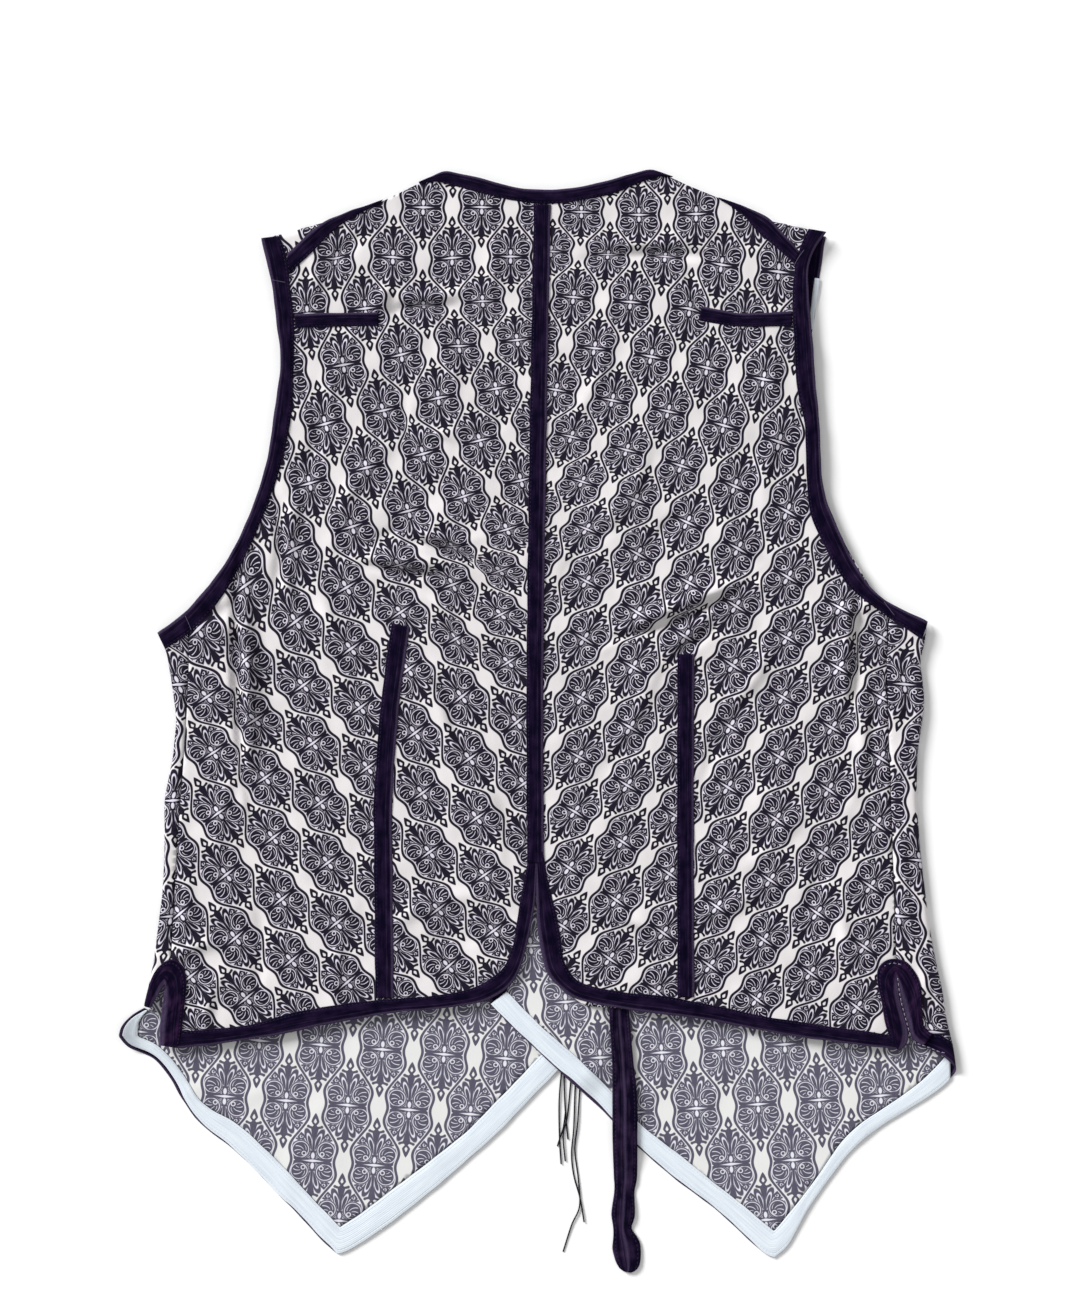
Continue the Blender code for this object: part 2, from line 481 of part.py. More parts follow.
class FrontSurface:
    """One front: flat on the table, and turned over at its side and shoulder folds."""

    def __init__(self, sign, fold, notch, shoulder):
        self.sign = sign
        self.fold = fold
        self.notch = notch
        start, end = shoulder
        run = math.dist(start, end)
        self.along = ((end[0] - start[0]) / run, (end[1] - start[1]) / run)
        self.out = (self.along[1] * sign * -1.0, self.along[0] * sign)
        self.shoulder = (start[0] - self.out[0] * FOLD_RADIUS, start[1] - self.out[1] * FOLD_RADIUS)

    def line(self, y):
        """Return how far the side fold's straight part ends from the centre line."""
        return table_value(self.fold, y) - FOLD_RADIUS

    def past_shoulder(self, x, y):
        """Return how far a point lies out over the shoulder fold line."""
        return (x - self.shoulder[0]) * self.out[0] + (y - self.shoulder[1]) * self.out[1]

    def on_tip(self, x):
        """Tell whether a point is on the stretch that turns over at the shoulder."""
        return x * self.sign > self.shoulder[0] * self.sign

    def unfold_side(self, x, y):
        """Return where a point on the upper side lies before the side fold is made."""
        return (self.sign * (self.line(y) + HALF_TURN + self.line(y) - self.sign * x), y)

    def unfold_path(self, path):
        """Smooth a path on the upper side and return it as it lies before the side fold is made."""
        points = smooth(path)
        marked = []
        for (x, y), (next_x, next_y) in zip(points, points[1:]):
            marked.append((x, y))
            heights = [row[0] for row in self.fold if min(y, next_y) < row[0] < max(y, next_y)]
            for height in sorted(heights, reverse=next_y < y):
                marked.append((x + (next_x - x) * (height - y) / (next_y - y), height))
        marked.append(points[-1])
        return [self.unfold_side(x, y) for x, y in marked]

    def unfold_tip(self, x, y):
        """Return where a point on the upper side lies before the shoulder fold is made."""
        move = HALF_TURN - 2.0 * self.past_shoulder(x, y)
        return (x + self.out[0] * move, y + self.out[1] * move)

    def rise(self, x, y):
        """Return how high the cloth's underside is above the table."""
        if self.sign < 0:
            return table_value(CURL, -x - CURL_START)
        past = (x - TAIL_CORNER[0]) * TAIL_NORMAL[0] + (y - TAIL_CORNER[1]) * TAIL_NORMAL[1]
        part = min((CENTRE_END - x) / OVERLAP_SLOPE, (TAIL_END - past) / OVERLAP_SLOPE)
        return OVERLAP_RISE * min(max(part, 0.0), 1.0)

    def crease_lines(self):
        """List a point on each line where the rise changes slope, and the line's normal."""
        if self.sign < 0:
            return [((-CURL_START - distance, 0.0), (1.0, 0.0)) for distance, _ in CURL]
        lines = [((CENTRE_END, 0.0), (1.0, 0.0)), ((CENTRE_END - OVERLAP_SLOPE, 0.0), (1.0, 0.0))]
        for past in (TAIL_END, TAIL_END - OVERLAP_SLOPE):
            lines.append(((TAIL_CORNER[0] + TAIL_NORMAL[0] * past, TAIL_CORNER[1] + TAIL_NORMAL[1] * past),
                          TAIL_NORMAL))
        drop = (TAIL_NORMAL[0] * (CENTRE_END - TAIL_CORNER[0]) - TAIL_END) / TAIL_NORMAL[1]
        corner = (CENTRE_END, TAIL_CORNER[1] - drop)
        lines.append((corner, (1.0 - TAIL_NORMAL[0], -TAIL_NORMAL[1])))
        return lines

    def bend(self, solid):
        """Score a flat solid along its folds and creases, and fold it."""
        for place, across in self.crease_lines():
            score(solid, place, across)
        for height, _ in self.fold[1:-1]:
            score(solid, (0.0, height), (0.0, 1.0))
        for step in range(FOLD_STEPS + 1):
            past = HALF_TURN * step / FOLD_STEPS
            place = (self.shoulder[0] + self.out[0] * past, self.shoulder[1] + self.out[1] * past)
            score(solid, place, self.out, lambda mid: mid.y > 260.0 and self.on_tip(mid.x))
        for vert in solid.verts:
            vert.co.x = self.sign * vert.co.x - self.line(vert.co.y)
        for step in range(FOLD_STEPS + 1):
            score(solid, (HALF_TURN * step / FOLD_STEPS, 0.0), (1.0, 0.0),
                  lambda mid: self.notch < mid.y < 80.0)
        for vert in solid.verts:
            vert.co = self.place(vert.co.x, vert.co.y, vert.co.z)

    def place(self, past, y, height):
        """Return where a point comes to lie: past the side fold line, y, above the outer face."""
        x = self.sign * (self.line(y) + past)
        radius = FOLD_RADIUS - height
        if past > 0.0 and self.notch < y < 80.0:
            turn = min(past / MID_RADIUS, math.pi)
            straight = max(past - HALF_TURN, 0.0)
            reach = self.line(y) + radius * math.sin(turn) - straight
            return (self.sign * reach, y, FOLD_RADIUS - radius * math.cos(turn))
        over = self.past_shoulder(x, y)
        if over > 0.0 and self.on_tip(x) and y > 260.0:
            turn = min(over / MID_RADIUS, math.pi)
            reach = radius * math.sin(turn) - max(over - HALF_TURN, 0.0) - over
            return (x + self.out[0] * reach, y + self.out[1] * reach, FOLD_RADIUS - radius * math.cos(turn))
        return (x, y, self.rise(x, y) + height)


BACK = BackSurface()
LEFT = FrontSurface(-1.0, FOLD_LEFT, NOTCH_LEFT, SHOULDER_LEFT)
RIGHT = FrontSurface(1.0, FOLD_RIGHT, NOTCH_RIGHT, SHOULDER_RIGHT)


def shifted(points, along_x):
    """Return the points moved sideways by along_x."""
    return [(x + along_x, y) for x, y in points]


def back_panels(group):
    """Make the two back panels, with a seam gap between them."""
    left = chain(
        NECK_EDGE_LEFT[::-1], shifted(CENTRE_BACK, -GAP / 2), HEM_BOTTOM_LEFT[::-1][1:],
        HEM_END_LEFT[::-1], BACK_VENT_LEFT[::-1], SIDE_SEAM_LEFT[::-1], BACK_ARMHOLE_LEFT[::-1],
        SHOULDER_SEAM_LEFT[::-1], BACK_SHOULDER_LEFT[::-1])
    right = chain(
        NECK_EDGE_RIGHT[::-1], shifted(CENTRE_BACK, GAP / 2), HEM_BOTTOM_RIGHT[::-1][1:],
        HEM_END_RIGHT[::-1], BACK_VENT_RIGHT[::-1], SIDE_SEAM_RIGHT[::-1], BACK_ARMHOLE_RIGHT[::-1],
        SHOULDER_SEAM_RIGHT[::-1], BACK_SHOULDER_RIGHT[::-1])
    for name, outline in (("back_left", left), ("back_right", right)):
        solid = flat_solid(outline, 0.0, CLOTH)
        BACK.bend(solid)
        finish_object(name, solid, PRINT_OUTSIDE, group)


def back_ribbons(group):
    """Lay the ribbons of the upper side on the back panels."""
    outlines = [(name, band(line, width)) for name, width, line in RIBBONS]
    outlines.append(("hem_ribbon_left", between(HEM_TOP_LEFT, HEM_BOTTOM_LEFT)))
    outlines.append(("hem_ribbon_right", between(HEM_TOP_RIGHT, HEM_BOTTOM_RIGHT)))
    outlines.append(("vent_ribbon_left", chain(*VENT_RIBBON_LEFT)))
    outlines.append(("vent_ribbon_right", chain(*VENT_RIBBON_RIGHT)))
    outlines.append(("armhole_ribbon_left", between(*ARMHOLE_RIBBON_LEFT)))
    outlines.append(("armhole_ribbon_right", between(*ARMHOLE_RIBBON_RIGHT)))
    for name, outline in outlines:
        solid = flat_solid(outline, CLOTH + GAP, RIBBON)
        BACK.bend(solid)
        finish_object(name, solid, VELVET, group)


def front_piece(name, outline, surface, low, thickness, finish, group):
    """Make one flat piece of a front and fold it with its front."""
    solid = flat_solid(outline, low, thickness)
    surface.bend(solid)
    finish_object(name, solid, finish, group)


def front_edges(surface, neck, centre, armhole, hem_outer, hem_inner, side):
    """Return the outlines of a front's edge ribbons and the panel's edges along them."""
    inward = RIBBON_WIDTH * surface.sign * -1.0
    opening = chain(neck, centre)
    hem_side = chain(*hem_inner)
    corner = hem_side[-1] if side == "left" else hem_side[0]
    keep = [point for point in opening if point[1] > corner[1] + GAP]
    inner = [point for point in offset(opening, -inward) if point[1] > corner[1] + GAP]
    keep.append((opening[-1][0], corner[1] + GAP))
    inner.append((corner[0], corner[1] + GAP))
    arm = smooth(armhole)
    arm_inner = offset(arm, inward)
    return {
        "centre": keep + inner[::-1],
        "centre_inner": offset(inner, -GAP * surface.sign * -1.0),
        "armhole": arm + arm_inner[::-1],
        "armhole_inner": offset(arm_inner, GAP * surface.sign * -1.0),
    }


def left_front(group):
    """Make the left front, its edge ribbons and its hem tape."""
    edges = front_edges(LEFT, FRONT_NECK_LEFT, FRONT_CENTRE_LEFT, FRONT_ARMHOLE_LEFT,
                        HEM_OUTER_LEFT, HEM_INNER_LEFT, "left")
    strip = [point for path in STRIP_LEFT for point in LEFT.unfold_path(path)[:-1]]
    notch = [(-LEFT.line(-180.0) - HALF_TURN, -178.5), (-LEFT.line(NOTCH_LEFT) + 1.0, NOTCH_LEFT)]
    hem_inner = offset(chain(*HEM_INNER_LEFT), GAP)
    tip = [LEFT.unfold_tip(x, y) for x, y in TIP_LEFT]
    outline = (
        edges["centre_inner"][::-1] + smooth(FRONT_SHOULDER_LEFT)[1:] + tip
        + edges["armhole_inner"] + strip + notch + hem_inner)
    front_piece("front_left", outline, LEFT, 0.0, CLOTH, PRINT_OUTSIDE, group)
    outer = chain(*HEM_OUTER_LEFT)
    inner = chain(*HEM_INNER_LEFT)
    front_piece("front_hem_ribbon_left", outer + inner[::-1], LEFT, 0.0, RIBBON, VELVET, group)
    front_piece("front_centre_ribbon_left", edges["centre"], LEFT, 0.0, RIBBON, VELVET, group)
    front_piece("front_armhole_ribbon_left", edges["armhole"], LEFT, 0.0, RIBBON, VELVET, group)
    tape = offset(outer, TAPE_INSET) + inner[::-1]
    front_piece("front_hem_tape_left", tape, LEFT, CLOTH + GAP, TAPE, PALE_TAPE, group)


def right_front(group):
    """Make the right front, its edge ribbons and its tapes."""
    edges = front_edges(RIGHT, FRONT_NECK_RIGHT, FRONT_CENTRE_RIGHT, FRONT_ARMHOLE_RIGHT,
                        HEM_OUTER_RIGHT, HEM_INNER_RIGHT, "right")
    strip = [point for path in STRIP_RIGHT for point in RIGHT.unfold_path(path)[:-1]]
    turned = [(RIGHT.line(y) + past, y) for past, y in HEM_INNER_TURNED]
    turned_outer = [(RIGHT.line(y) + past, y) for past, y in HEM_OUTER_TURNED]
    flat_inner = chain(*HEM_INNER_RIGHT)
    inner = flat_inner + turned
    hem_inner = offset(inner, GAP)
    tip = [RIGHT.unfold_tip(x, y) for x, y in TIP_RIGHT]
    outline = (
        edges["centre_inner"][::-1] + smooth(FRONT_SHOULDER_RIGHT)[1:] + tip
        + edges["armhole_inner"] + strip + hem_inner[::-1])
    front_piece("front_right", outline, RIGHT, 0.0, CLOTH, PRINT_OUTSIDE, group)
    flat_outer = chain(*HEM_OUTER_RIGHT)
    outer = flat_outer + turned_outer
    front_piece("front_hem_ribbon_right", outer + inner[::-1], RIGHT, 0.0, RIBBON, VELVET, group)
    front_piece("front_centre_ribbon_right", edges["centre"], RIGHT, 0.0, RIBBON, VELVET, group)
    front_piece("front_armhole_ribbon_right", edges["armhole"], RIGHT, 0.0, RIBBON, VELVET, group)
    tape = offset(flat_outer, TAPE_INSET) + flat_inner[::-1]
    front_piece("front_hem_tape_right", tape, RIGHT, CLOTH + GAP, TAPE, PALE_TAPE, group)
    facing = band(ARMHOLE_TAPE, ARMHOLE_TAPE_WIDTH)
    front_piece("front_armhole_tape_right", facing, RIGHT, CLOTH + GAP, TAPE, PALE_TAPE, group)


def tie_strap(group):
    """Make the velvet strap that runs over the right front's hem and down to the table."""
    line = smooth(STRAP_LINE)
    edge = [offset(line, 1.0)[index] for index in range(len(line))]
    left = []
    right = []
    for (x, y, half), (edge_x, edge_y) in zip(line, edge):
        left.append((x + (edge_x - x) * half, y + (edge_y - y) * half))
        right.append((x - (edge_x - x) * half, y - (edge_y - y) * half))
    solid = flat_solid(left + right[::-1], 0.0, STRAP)
    for place, across in RIGHT.crease_lines():
        score(solid, place, across)
    for height, _ in STRAP_LIFT[1:-1]:
        score(solid, (0.0, height), (0.0, 1.0))
    for vert in solid.verts:
        vert.co.z += RIGHT.rise(vert.co.x, vert.co.y) + table_value(STRAP_LIFT, vert.co.y)
    finish_object("tie_strap", solid, VELVET, group)


def loose_threads(group, cutters):
    """Make the loose threads, joined at their roots by a small bar under the hem."""
    bar = finish_object("loose_threads", flat_solid(THREAD_BAR, THREAD_LIFT, THREAD_BAR_HEIGHT), VELVET, group)
    for number, line in enumerate(THREADS):
        strand = flat_solid(band(line, THREAD_SIZE), THREAD_LIFT, THREAD_SIZE)
        cutter = finish_object(f"thread_{number}", strand, VELVET, cutters)
        cutter.hide_render = True
        cutter.display_type = "WIRE"
        join = bar.modifiers.new(f"thread_{number}", "BOOLEAN")
        join.operation = "UNION"
        join.solver = "EXACT"
        join.object = cutter


def main():
    """Build the waistcoat."""
    for old in list(bpy.data.objects):
        bpy.data.objects.remove(old)
    group = bpy.data.collections.new("waistcoat")
    cutters = bpy.data.collections.new("cutters")
    for collection in (group, cutters):
        bpy.context.scene.collection.children.link(collection)
    back_panels(group)
    back_ribbons(group)
    left_front(group)
    right_front(group)
    tie_strap(group)
    loose_threads(group, cutters)


main()
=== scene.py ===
"""Looks of a sleeveless waistcoat that lies face down on a white table.

Printed cotton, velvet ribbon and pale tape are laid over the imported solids. Lengths are in
millimetres until a mesh is made, and then in metres. X runs across the garment, Y from the
hem to the neck, and Z up from the table.
"""

import logging
import math
from dataclasses import dataclass
from enum import Enum

import bpy
import numpy as np
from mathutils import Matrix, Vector
from mathutils.geometry import delaunay_2d_cdt


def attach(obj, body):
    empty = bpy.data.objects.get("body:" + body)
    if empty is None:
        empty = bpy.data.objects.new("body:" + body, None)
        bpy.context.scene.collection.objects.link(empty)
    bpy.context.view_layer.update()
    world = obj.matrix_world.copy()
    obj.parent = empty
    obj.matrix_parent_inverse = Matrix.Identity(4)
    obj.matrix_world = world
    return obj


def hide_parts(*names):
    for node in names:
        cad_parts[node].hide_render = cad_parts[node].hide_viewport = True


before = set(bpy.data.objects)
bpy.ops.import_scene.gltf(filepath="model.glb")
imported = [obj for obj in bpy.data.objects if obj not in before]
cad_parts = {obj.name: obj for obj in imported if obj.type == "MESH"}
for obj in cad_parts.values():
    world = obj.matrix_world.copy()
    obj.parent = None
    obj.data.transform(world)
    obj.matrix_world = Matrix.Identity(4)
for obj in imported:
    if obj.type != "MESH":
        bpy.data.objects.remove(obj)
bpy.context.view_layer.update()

log = logging.getLogger("waistcoat")

Path = tuple[tuple[float, ...], ...]
Edges = tuple[Path, Path]
Pair = tuple[float, float]
Triple = tuple[float, float, float]

MM = 0.001

# Levels up the body: tops of the side vents, underarms, reach of the side folds, shoulder tips, all rows
VENT_TOP = -154.0
UNDERARM = 71.0
FOLD_BOTTOM = -232.0
FOLD_TOP = 80.0
TIP_LEVEL = 260.0
LEVELS = np.arange(-400.0, 401.0)

# Outlines: how close two points count as one, and how sharp a corner an offset still follows
SAME_PLACE = 0.05
SHARPEST_CORNER = 0.3

# The solids' layers, which the looks keep to
CLOTH = 1.2
RIBBON = 1.0
BACK_BASE = 5.1
FOLD_RADIUS = (BACK_BASE + CLOTH) / 2
MID_RADIUS = FOLD_RADIUS - CLOTH / 2
HALF_TURN = math.pi * MID_RADIUS
RIBBON_WIDTH = 11.0
NECK_RIBBON_WIDTH = 9.0

# The right front climbs over the left one near the centre front
OVERLAP_RISE = 2.6
OVERLAP_SLOPE = 17.0
CENTRE_END = 56.0
TAIL_CORNER = (39.0, -200.5)
TAIL_NORMAL = (0.715, -0.699)
TAIL_END = 30.0

# The left front's free side corner curls up: distance out from the body, height
CURL_START = 253.5
CURL: Path = ((0.0, 0.0), (6.0, 0.8), (12.0, 3.2), (18.0, 7.0), (24.0, 11.0))

# Where the left front's creases end before that corner, and the width they fade over
CALM_CORNER = 250.0
CALM_CORNER_RUN = 20.0

# Outer reach of each side fold from the centre line: height up the body, reach
FOLD_LEFT: Path = (
    (-400.0, 255.5), (-184.0, 255.5), (-174.5, 253.5), (-156.0, 249.5), (-132.0, 246.5),
    (-111.0, 243.8), (-86.0, 242.5), (-50.0, 242.5), (-23.0, 237.0), (2.0, 234.7),
    (21.0, 237.2), (46.0, 241.2), (57.0, 247.0), (400.0, 247.0),
)
FOLD_RIGHT: Path = (
    (-400.0, 271.8), (-227.0, 271.8), (-210.0, 269.5), (-194.0, 265.2), (-174.5, 262.6),
    (-155.0, 258.1), (-134.0, 254.2), (-107.0, 250.9), (-85.0, 248.3), (-51.0, 245.7),
    (-21.0, 246.3), (10.0, 250.9), (24.0, 250.2), (39.0, 247.7), (50.0, 250.9),
    (65.0, 252.9), (400.0, 252.9),
)
NOTCH_LEFT = -184.0
NOTCH_RIGHT = -400.0

# Each shoulder fold: where it starts, where it meets the armhole
SHOULDER_LEFT: Path = ((-134.0, 325.5), (-180.0, 313.0))
SHOULDER_RIGHT: Path = ((150.0, 325.5), (187.5, 317.0))

# Seams, from the underarm down to the top of the side vent
SIDE_SEAM_LEFT: Path = ((-226.0, 71.0), (-227.5, 11.4), (-234.0, -83.5), (-238.0, -154.0))
SIDE_SEAM_RIGHT: Path = ((227.5, 75.0), (226.2, 27.0), (228.8, -51.0), (232.1, -154.0))
SHOULDER_SEAM_LEFT: Path = ((-111.5, 333.5), (-135.2, 320.5), (-154.7, 304.5), (-165.0, 294.0))
SHOULDER_SEAM_RIGHT: Path = ((119.6, 338.6), (142.0, 324.0), (160.6, 307.8), (170.5, 297.5))
CENTRE_BACK: Path = ((2.9, 344.0), (2.6, 320.0), (0.0, 183.0), (-2.0, 30.0), (-1.6, -88.0))

# Edges of the back panels
NECK_EDGE_LEFT: Path = ((2.9, 343.6), (-16.9, 346.2), (-37.7, 352.0), (-61.1, 356.6))
NECK_EDGE_RIGHT: Path = ((2.9, 343.6), (20.8, 344.9), (44.9, 350.1), (71.5, 357.2), (88.0, 352.0))
BACK_SHOULDER_LEFT: Path = ((-61.1, 356.6), (-76.7, 349.4), (-98.8, 338.4), (-111.5, 333.5))
BACK_SHOULDER_RIGHT: Path = ((88.0, 352.0), (98.8, 347.0), (119.6, 338.6))
BACK_ARMHOLE_LEFT: Path = (
    (-172.0, 286.5), (-169.0, 261.0), (-166.5, 232.4), (-171.2, 194.0), (-177.4, 160.2),
    (-196.3, 112.8), (-222.8, 77.0), (-226.0, 71.0),
)
BACK_ARMHOLE_RIGHT: Path = (
    (174.4, 290.0), (174.7, 274.0), (177.4, 248.0), (178.7, 223.3), (181.2, 200.0),
    (183.9, 155.7), (192.3, 128.4), (215.8, 87.0), (227.5, 75.0),
)
BACK_VENT_LEFT: Path = ((-238.0, -154.0), (-240.5, -169.0), (-243.5, -182.0), (-245.0, -209.0))
BACK_VENT_RIGHT: Path = (
    (232.1, -154.0), (232.8, -166.0), (236.0, -184.0), (238.0, -199.0), (237.0, -212.5),
)
HEM_END_LEFT: Path = ((-245.0, -209.0), (-234.0, -211.0))
HEM_END_RIGHT: Path = ((237.0, -212.5), (227.5, -211.0))

# Back hem ribbon: its upper and lower edges, from the side to the top of the centre vent
HEM_TOP_LEFT: Path = (
    (-229.6, -200.6), (-189.2, -196.6), (-151.5, -186.9), (-105.3, -180.4), (-69.5, -177.8),
    (-41.0, -171.9), (-23.4, -160.2), (-14.3, -143.3), (-10.4, -120.6), (-6.5, -99.0), (-2.4, -92.5),
)
HEM_BOTTOM_LEFT: Path = (
    (-231.2, -211.5), (-208.7, -209.0), (-170.3, -203.1), (-132.0, -195.3), (-94.2, -188.8),
    (-55.9, -184.9), (-33.1, -180.4), (-17.6, -170.0), (-10.4, -156.3), (-4.5, -131.6),
    (-1.4, -110.0), (-1.0, -93.5),
)
HEM_TOP_RIGHT: Path = (
    (224.6, -202.4), (184.0, -196.6), (146.9, -190.8), (90.4, -179.1), (55.9, -175.2),
    (28.6, -169.3), (17.6, -156.3), (14.3, -138.1), (10.4, -116.0), (5.2, -97.0), (0.8, -92.5),
)
HEM_BOTTOM_RIGHT: Path = (
    (228.4, -211.8), (184.0, -206.4), (139.8, -199.2), (110.5, -193.4), (55.9, -186.2),
    (30.6, -183.6), (17.6, -172.6), (6.5, -156.3), (3.2, -134.2), (1.0, -110.0), (-0.4, -93.5),
)

# Back hem ribbon: where its ends go on under the other ribbons
HEM_RIBBON_LEFT: Edges = (
    ((-236.4, -211.4), *HEM_BOTTOM_LEFT[:9], (-4.5, -131.6), (-1.4, -112.0), (-1.1, -96.0), (-1.0, -84.0)),
    ((-235.0, -201.4), *HEM_TOP_LEFT[:7], (-16.4, -144.6), (-14.0, -132.2), (-12.0, -118.8), (-9.8, -105.4),
     (-7.4, -94.2), (-5.4, -84.0)),
)
HEM_RIBBON_RIGHT: Edges = (
    ((235.2, -212.8), *HEM_BOTTOM_RIGHT[:5], (27.0, -180.2), (14.6, -172.6), (6.3, -163.6), (3.7, -156.1),
     (1.8, -146.4), (0.3, -136.7), (-0.7, -126.0), (-1.1, -110.0), (-1.2, -84.0)),
    ((232.0, -203.6), *HEM_TOP_RIGHT[:8], (10.1, -117.4), (7.1, -106.4), (4.8, -94.2), (3.4, -84.0)),
)

# Neck ribbon: the edge along the neckline, then the lower edge; it runs out to nothing at both ends
NECK_RIBBON: Edges = (
    ((-77.4, 349.9), (-69.5, 353.6), (-61.0, 356.9), (-52.0, 355.6), (-35.4, 351.8), (-15.6, 346.8),
     (2.0, 344.9), (20.0, 345.8), (43.9, 350.5), (60.0, 355.0), (71.4, 358.0), (79.0, 356.6), (87.4, 353.6)),
    ((-76.8, 349.0), (-68.5, 350.0), (-60.0, 348.9), (-52.0, 347.0), (-37.4, 343.0), (-16.8, 338.0),
     (2.0, 335.9), (21.2, 336.9), (45.9, 341.8), (61.0, 347.4), (71.2, 351.2), (78.4, 353.2), (86.8, 352.8)),
)

# Ribbons on the upper side that keep one width: name, width, middle line
EVEN_RIBBONS: tuple[tuple[str, float, Path], ...] = (
    ("centre_back_ribbon", RIBBON_WIDTH, ((2.8, 335.3), (0.0, 183.0), (-2.0, 30.0), (-1.6, -91.5))),
    ("yoke_ribbon_left", NECK_RIBBON_WIDTH, ((-157.6, 259.7), (-130.0, 260.6), (-103.4, 261.0))),
    ("yoke_ribbon_right", NECK_RIBBON_WIDTH,
     ((105.3, 264.9), (118.3, 262.3), (134.6, 260.3), (164.6, 261.4))),
    ("dart_ribbon_left", 12.0,
     ((-89.0, 62.7), (-95.9, 11.4), (-100.4, -49.7), (-100.4, -82.2), (-99.5, -179.0))),
    ("dart_ribbon_right", RIBBON_WIDTH, ((95.9, 43.9), (95.5, -70.0), (95.9, -178.4))),
)

# Shoulder ribbons: the edge along the shoulder fold, then the lower edge
SHOULDER_RIBBON_LEFT: Edges = (
    ((-100.5, 338.4), (-111.8, 334.6), (-119.6, 332.2), (-127.5, 329.0), (-136.0, 325.4), (-145.0, 319.6),
     (-153.1, 312.3), (-162.6, 303.6)),
    ((-101.6, 337.0), (-112.0, 331.0), (-118.5, 327.6), (-124.5, 324.2), (-135.3, 316.2), (-145.9, 304.8),
     (-153.2, 297.8), (-161.2, 290.0)),
)
SHOULDER_RIBBON_RIGHT: Edges = (
    ((117.0, 340.0), (126.0, 337.2), (135.3, 333.6), (143.5, 330.0), (151.2, 325.0), (159.6, 315.8),
     (169.4, 305.4)),
    ((118.0, 338.4), (124.5, 334.4), (132.6, 328.6), (140.6, 319.7), (151.2, 310.0), (160.0, 302.6),
     (166.4, 296.2)),
)

# Side vent ribbons: outer edge, then inner edge, round the top of the slit
VENT_RIBBON_LEFT: Edges = (
    ((-255.6, -184.4), (-252.9, -172.0), (-249.0, -163.0), (-244.4, -157.2), (-238.6, -154.0),
     (-233.3, -155.5), (-229.6, -160.5), (-227.8, -168.0), (-228.2, -178.0), (-230.0, -192.0),
     (-231.8, -208.0), (-236.5, -211.0)),
    ((-251.4, -185.4), (-247.4, -179.4), (-244.8, -174.6), (-242.2, -171.0), (-241.8, -171.2),
     (-242.4, -175.4), (-244.1, -188.0), (-245.0, -202.0), (-244.6, -209.6)),
)
VENT_RIBBON_RIGHT: Edges = (
    ((229.4, -208.9), (224.8, -195.3), (222.3, -180.4), (219.7, -167.0), (220.6, -159.6),
     (224.5, -155.2), (230.0, -153.4), (237.9, -155.0), (243.5, -160.9), (247.2, -168.0),
     (248.6, -178.0), (249.0, -188.0), (250.2, -197.0), (255.6, -202.4)),
    ((234.6, -213.2), (239.4, -208.0), (239.9, -199.6), (237.0, -189.6), (234.2, -178.0), (233.1, -168.6),
     (233.6, -168.5), (234.9, -178.0), (237.7, -189.2), (240.6, -199.4), (242.6, -205.6), (249.6, -210.4)),
)

# Armhole ribbons: outer edge, then inner edge, from the shoulder to the underarm
ARMHOLE_RIBBON_LEFT: Edges = (
    ((-179.4, 313.5), (-176.2, 300.0), (-172.9, 285.0), (-169.7, 261.0), (-167.1, 232.4),
     (-172.0, 194.0), (-178.1, 160.2), (-197.0, 112.8), (-223.6, 76.4), (-247.0, 57.5)),
    ((-167.7, 314.9), (-163.2, 301.3), (-160.6, 281.8), (-158.4, 257.7), (-158.6, 223.3),
     (-162.5, 183.0), (-178.1, 133.6), (-200.8, 87.4), (-222.0, 61.0), (-242.0, 47.0)),
)
ARMHOLE_RIBBON_RIGHT: Edges = (
    ((186.6, 317.6), (180.1, 307.8), (175.5, 294.8), (175.5, 274.0), (178.1, 248.0),
     (179.4, 223.3), (182.0, 200.0), (184.6, 155.7), (193.1, 128.4), (216.5, 86.1), (252.9, 64.7)),
    ((175.5, 319.5), (169.5, 306.5), (166.0, 292.0), (165.1, 274.0), (165.8, 248.0),
     (168.3, 214.2), (173.0, 190.0), (174.8, 146.6), (180.7, 124.5), (203.5, 86.1), (249.0, 53.5)),
)

# Largest folds of the back: middle x, y, half length, half width, height, lean in degrees
LARGE_FOLDS: Path = (
    (-194.0, 22.0, 70.0, 11.0, 2.8, 92.0),
    (-167.0, 112.0, 34.0, 10.0, 2.0, 88.0),
    (-78.0, 102.0, 52.0, 11.0, 2.4, -8.0),
    (-66.0, 124.0, 20.0, 10.0, 2.2, 60.0),
    (-70.0, 70.0, 60.0, 13.0, 1.6, -24.0),
    (-52.0, 200.0, 46.0, 14.0, 1.4, -60.0),
    (-120.0, 305.0, 30.0, 12.0, 1.4, 64.0),
    (-110.0, 232.0, 44.0, 15.0, 1.2, 80.0),
    (-140.0, -92.0, 52.0, 14.0, 1.2, -50.0),
    (-48.0, -20.0, 50.0, 14.0, 1.2, -66.0),
    (200.0, 48.0, 44.0, 11.0, 2.4, 88.0),
    (96.0, 74.0, 58.0, 12.0, 2.0, 24.0),
    (78.0, 34.0, 46.0, 12.0, 1.4, 38.0),
    (52.0, 150.0, 46.0, 13.0, 1.4, 62.0),
    (104.0, 284.0, 34.0, 13.0, 1.4, -62.0),
    (128.0, 190.0, 48.0, 15.0, 1.3, 74.0),
    (150.0, -40.0, 60.0, 13.0, 1.4, 66.0),
    (44.0, -70.0, 50.0, 14.0, 1.2, 58.0),
)
# How much of each fold's foot is cut away, how far folds bend, and where they fade out beside the side seams
FOLD_CUT = 0.06
FOLD_BOW = 0.5
CALM_START = 17.0
CALM_RUN = 24.0

